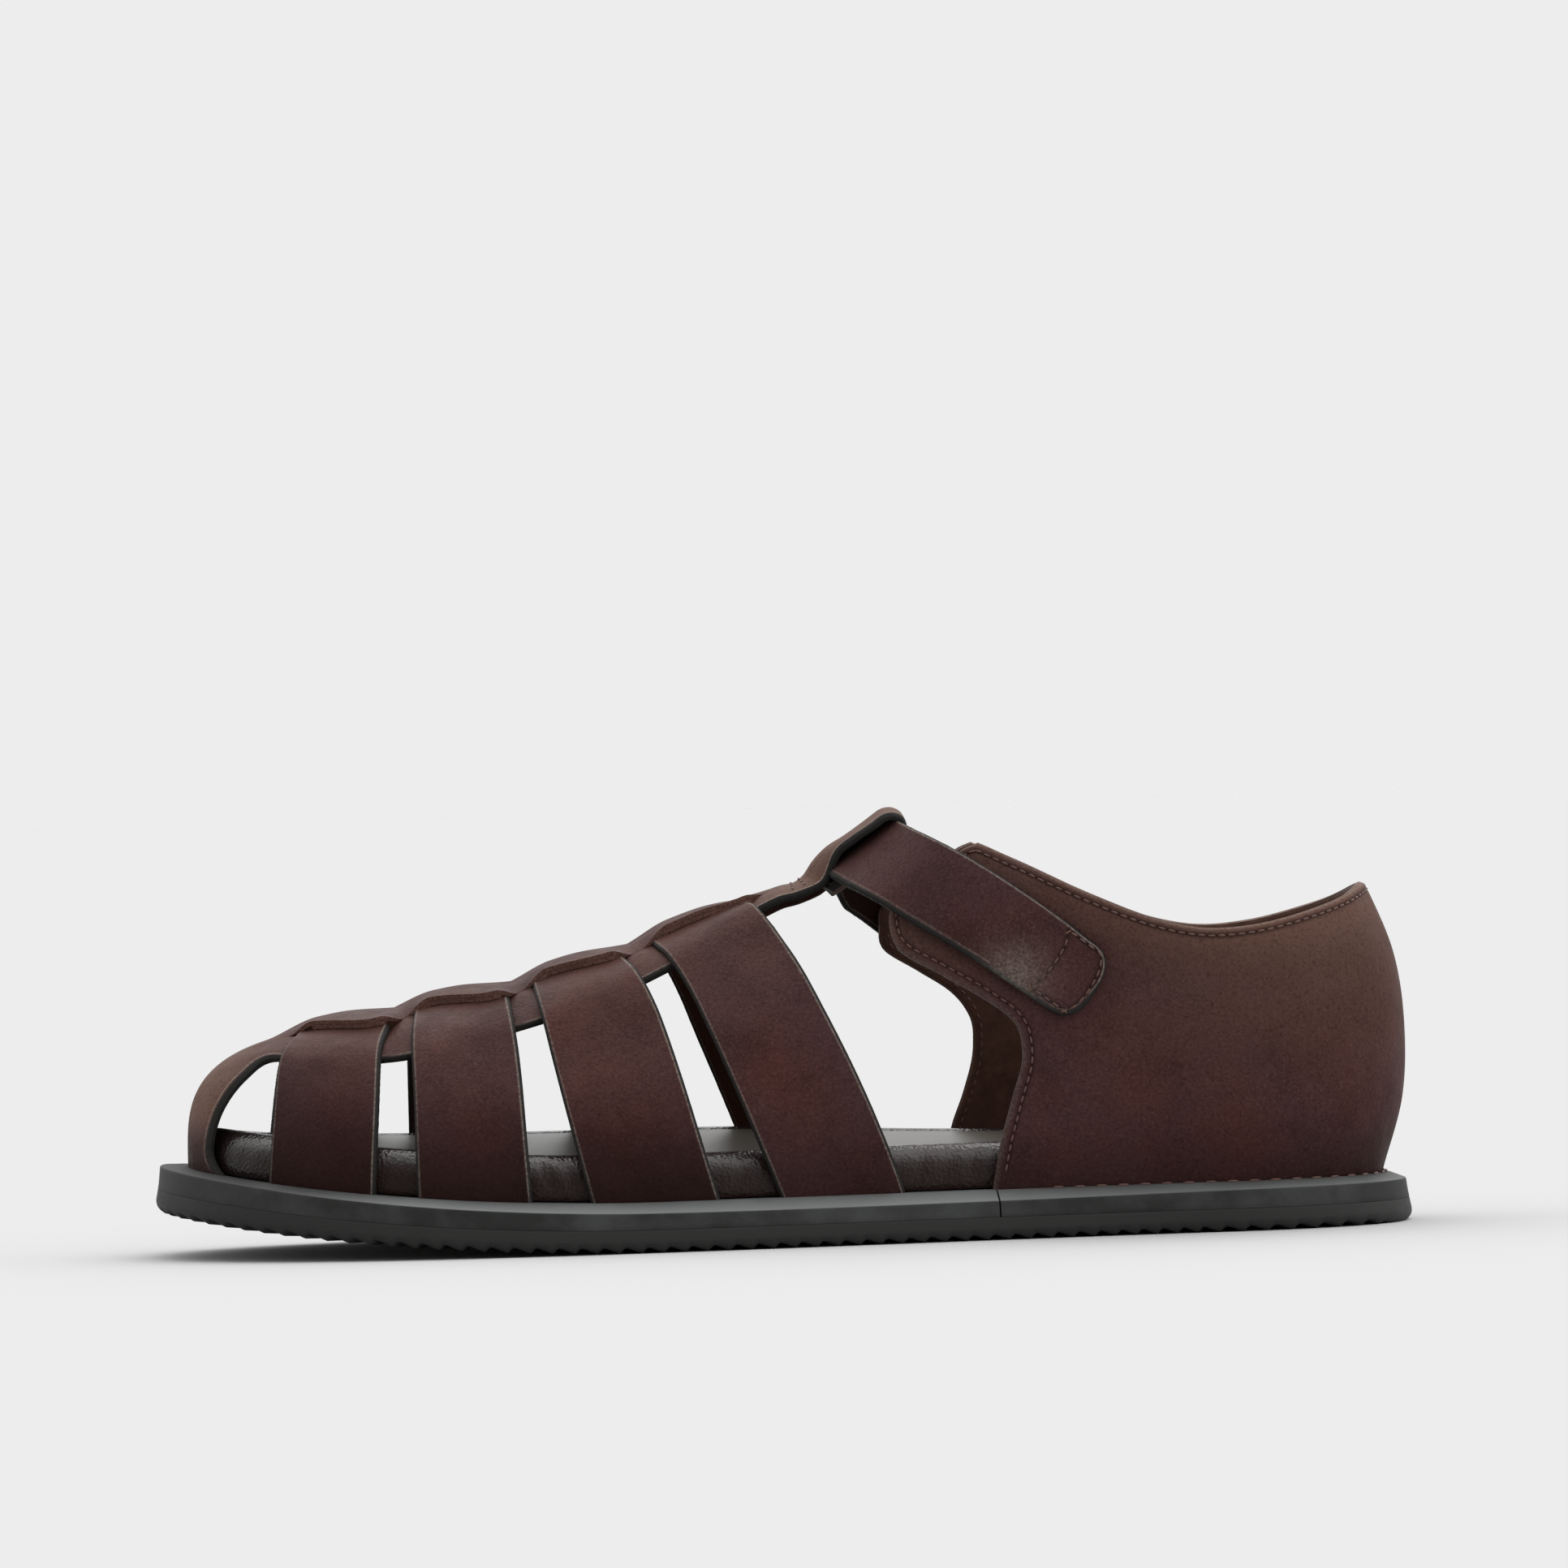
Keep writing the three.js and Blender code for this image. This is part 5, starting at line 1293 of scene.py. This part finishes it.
class SANDAL_OT_stage(bpy.types.Operator):
    """Sets the pale floor, the soft studio light and the camera"""

    bl_idname = "sandal.stage"
    bl_label = "Stage"

    # Soft boxes over the far side, before the heel and ahead of the toe: aim, narrowness, strength.
    BOXES = (((0.0, 0.5, 0.866), 3.0, 2.8), ((0.62, -0.5, 0.6), 3.0, 1.25), ((-0.98, 0.0, 0.2), 4.0, 0.5))

    def execute(self, context):
        scene = context.scene
        roll = math.radians(CAMERA_ROLL)
        data = bpy.data.cameras.new("Camera")
        data.lens, data.sensor_width, data.clip_end = CAMERA_LENS, SENSOR, CLIP_END
        camera = bpy.data.objects.new("Camera", data)
        right, up = (math.cos(roll), 0, -math.sin(roll)), (math.sin(roll), 0, math.cos(roll))
        axes = Matrix((right, up, (0, -1, 0))).transposed().to_4x4()
        camera.matrix_world = Matrix.Translation([c * MM for c in CAMERA_PLACE]) @ axes
        scene.collection.objects.link(camera)
        scene.camera = camera
        mesh = bpy.data.meshes.new("floor")
        corners = [(x * FLOOR_REACH, y * FLOOR_REACH, 0) for x, y in ((-1, -1), (1, -1), (1, 1), (-1, 1))]
        mesh.from_pydata(corners, [], [(0, 1, 2, 3)])
        mesh.materials.append(finish("studio_paper"))
        floor = bpy.data.objects.new("floor", mesh)
        scene.collection.objects.link(floor)
        scene.view_settings.view_transform = "Standard"
        self.light(scene)
        return {"FINISHED"}

    def light(self, scene):
        """A world with wide soft boxes and pale sides; the camera sees an even pale backdrop."""
        scene.world = bpy.data.worlds.new("soft_boxes")
        scene.world.use_nodes = True
        tree = scene.world.node_tree
        tree.nodes.clear()
        way = add(tree, "ShaderNodeTexCoord").outputs["Generated"]
        axes = add(tree, "ShaderNodeSeparateXYZ", {0: way})
        sides = add(tree, "ShaderNodeMath", {0: axes, 1: 2.0}, operation="POWER")
        strength = add(tree, "ShaderNodeMath", {0: sides, 1: 0.7, 2: 0.1}, operation="MULTIPLY_ADD")
        for aim, narrow, power in self.BOXES:
            towards = add(tree, "ShaderNodeVectorMath", {0: way, 1: aim}, operation="DOT_PRODUCT")
            ahead = add(tree, "ShaderNodeMath", {0: towards.outputs["Value"], 1: 0.0}, operation="MAXIMUM")
            lobe = add(tree, "ShaderNodeMath", {0: ahead, 1: narrow}, operation="POWER")
            strength = add(tree, "ShaderNodeMath", {0: lobe, 1: power, 2: strength}, operation="MULTIPLY_ADD")
        sky = add(tree, "ShaderNodeBackground", {"Color": (1, 1, 1, 1), "Strength": strength})
        shown = tuple(scene.sandal_colours.backdrop)
        backdrop = add(tree, "ShaderNodeBackground", {"Color": shown, "Strength": 1.0})
        ray = add(tree, "ShaderNodeLightPath").outputs["Is Camera Ray"]
        seen = add(tree, "ShaderNodeMixShader", {0: ray, 1: sky, 2: backdrop})
        add(tree, "ShaderNodeOutputWorld", {"Surface": seen})


class SANDAL_PT_panel(bpy.types.Panel):
    """Sizes, colours and pieces of the sandal"""

    bl_idname = "SANDAL_PT_panel"
    bl_label = "Fisherman sandal"
    bl_space_type = "VIEW_3D"
    bl_region_type = "UI"
    bl_category = "Sandal"

    def draw(self, context):
        for group in (context.scene.sandal_sizes, context.scene.sandal_colours):
            box = self.layout.box()
            for key in group.__annotations__:
                box.prop(group, key)
        for operator in OPERATORS:
            self.layout.operator(operator.bl_idname)


OPERATORS = (
    SANDAL_OT_stage,
    SANDAL_OT_outsole,
    SANDAL_OT_welt,
    SANDAL_OT_footbed,
    SANDAL_OT_straps,
    SANDAL_OT_quarter,
    SANDAL_OT_ankle_strap,
)
CLASSES = (SandalSizes, SandalColours, *OPERATORS, SANDAL_PT_panel)


def register():
    for made in CLASSES:
        bpy.utils.register_class(made)
    bpy.types.Scene.sandal_sizes = PointerProperty(type=SandalSizes)
    bpy.types.Scene.sandal_colours = PointerProperty(type=SandalColours)


def unregister():
    del bpy.types.Scene.sandal_colours
    del bpy.types.Scene.sandal_sizes
    for made in reversed(CLASSES):
        bpy.utils.unregister_class(made)


def main():
    register()
    bpy.ops.sandal.stage()
    bpy.ops.sandal.outsole()
    bpy.ops.sandal.welt()
    bpy.ops.sandal.footbed()
    bpy.ops.sandal.straps()
    bpy.ops.sandal.quarter()
    bpy.ops.sandal.ankle_strap()


if __name__ == "__main__":
    main()
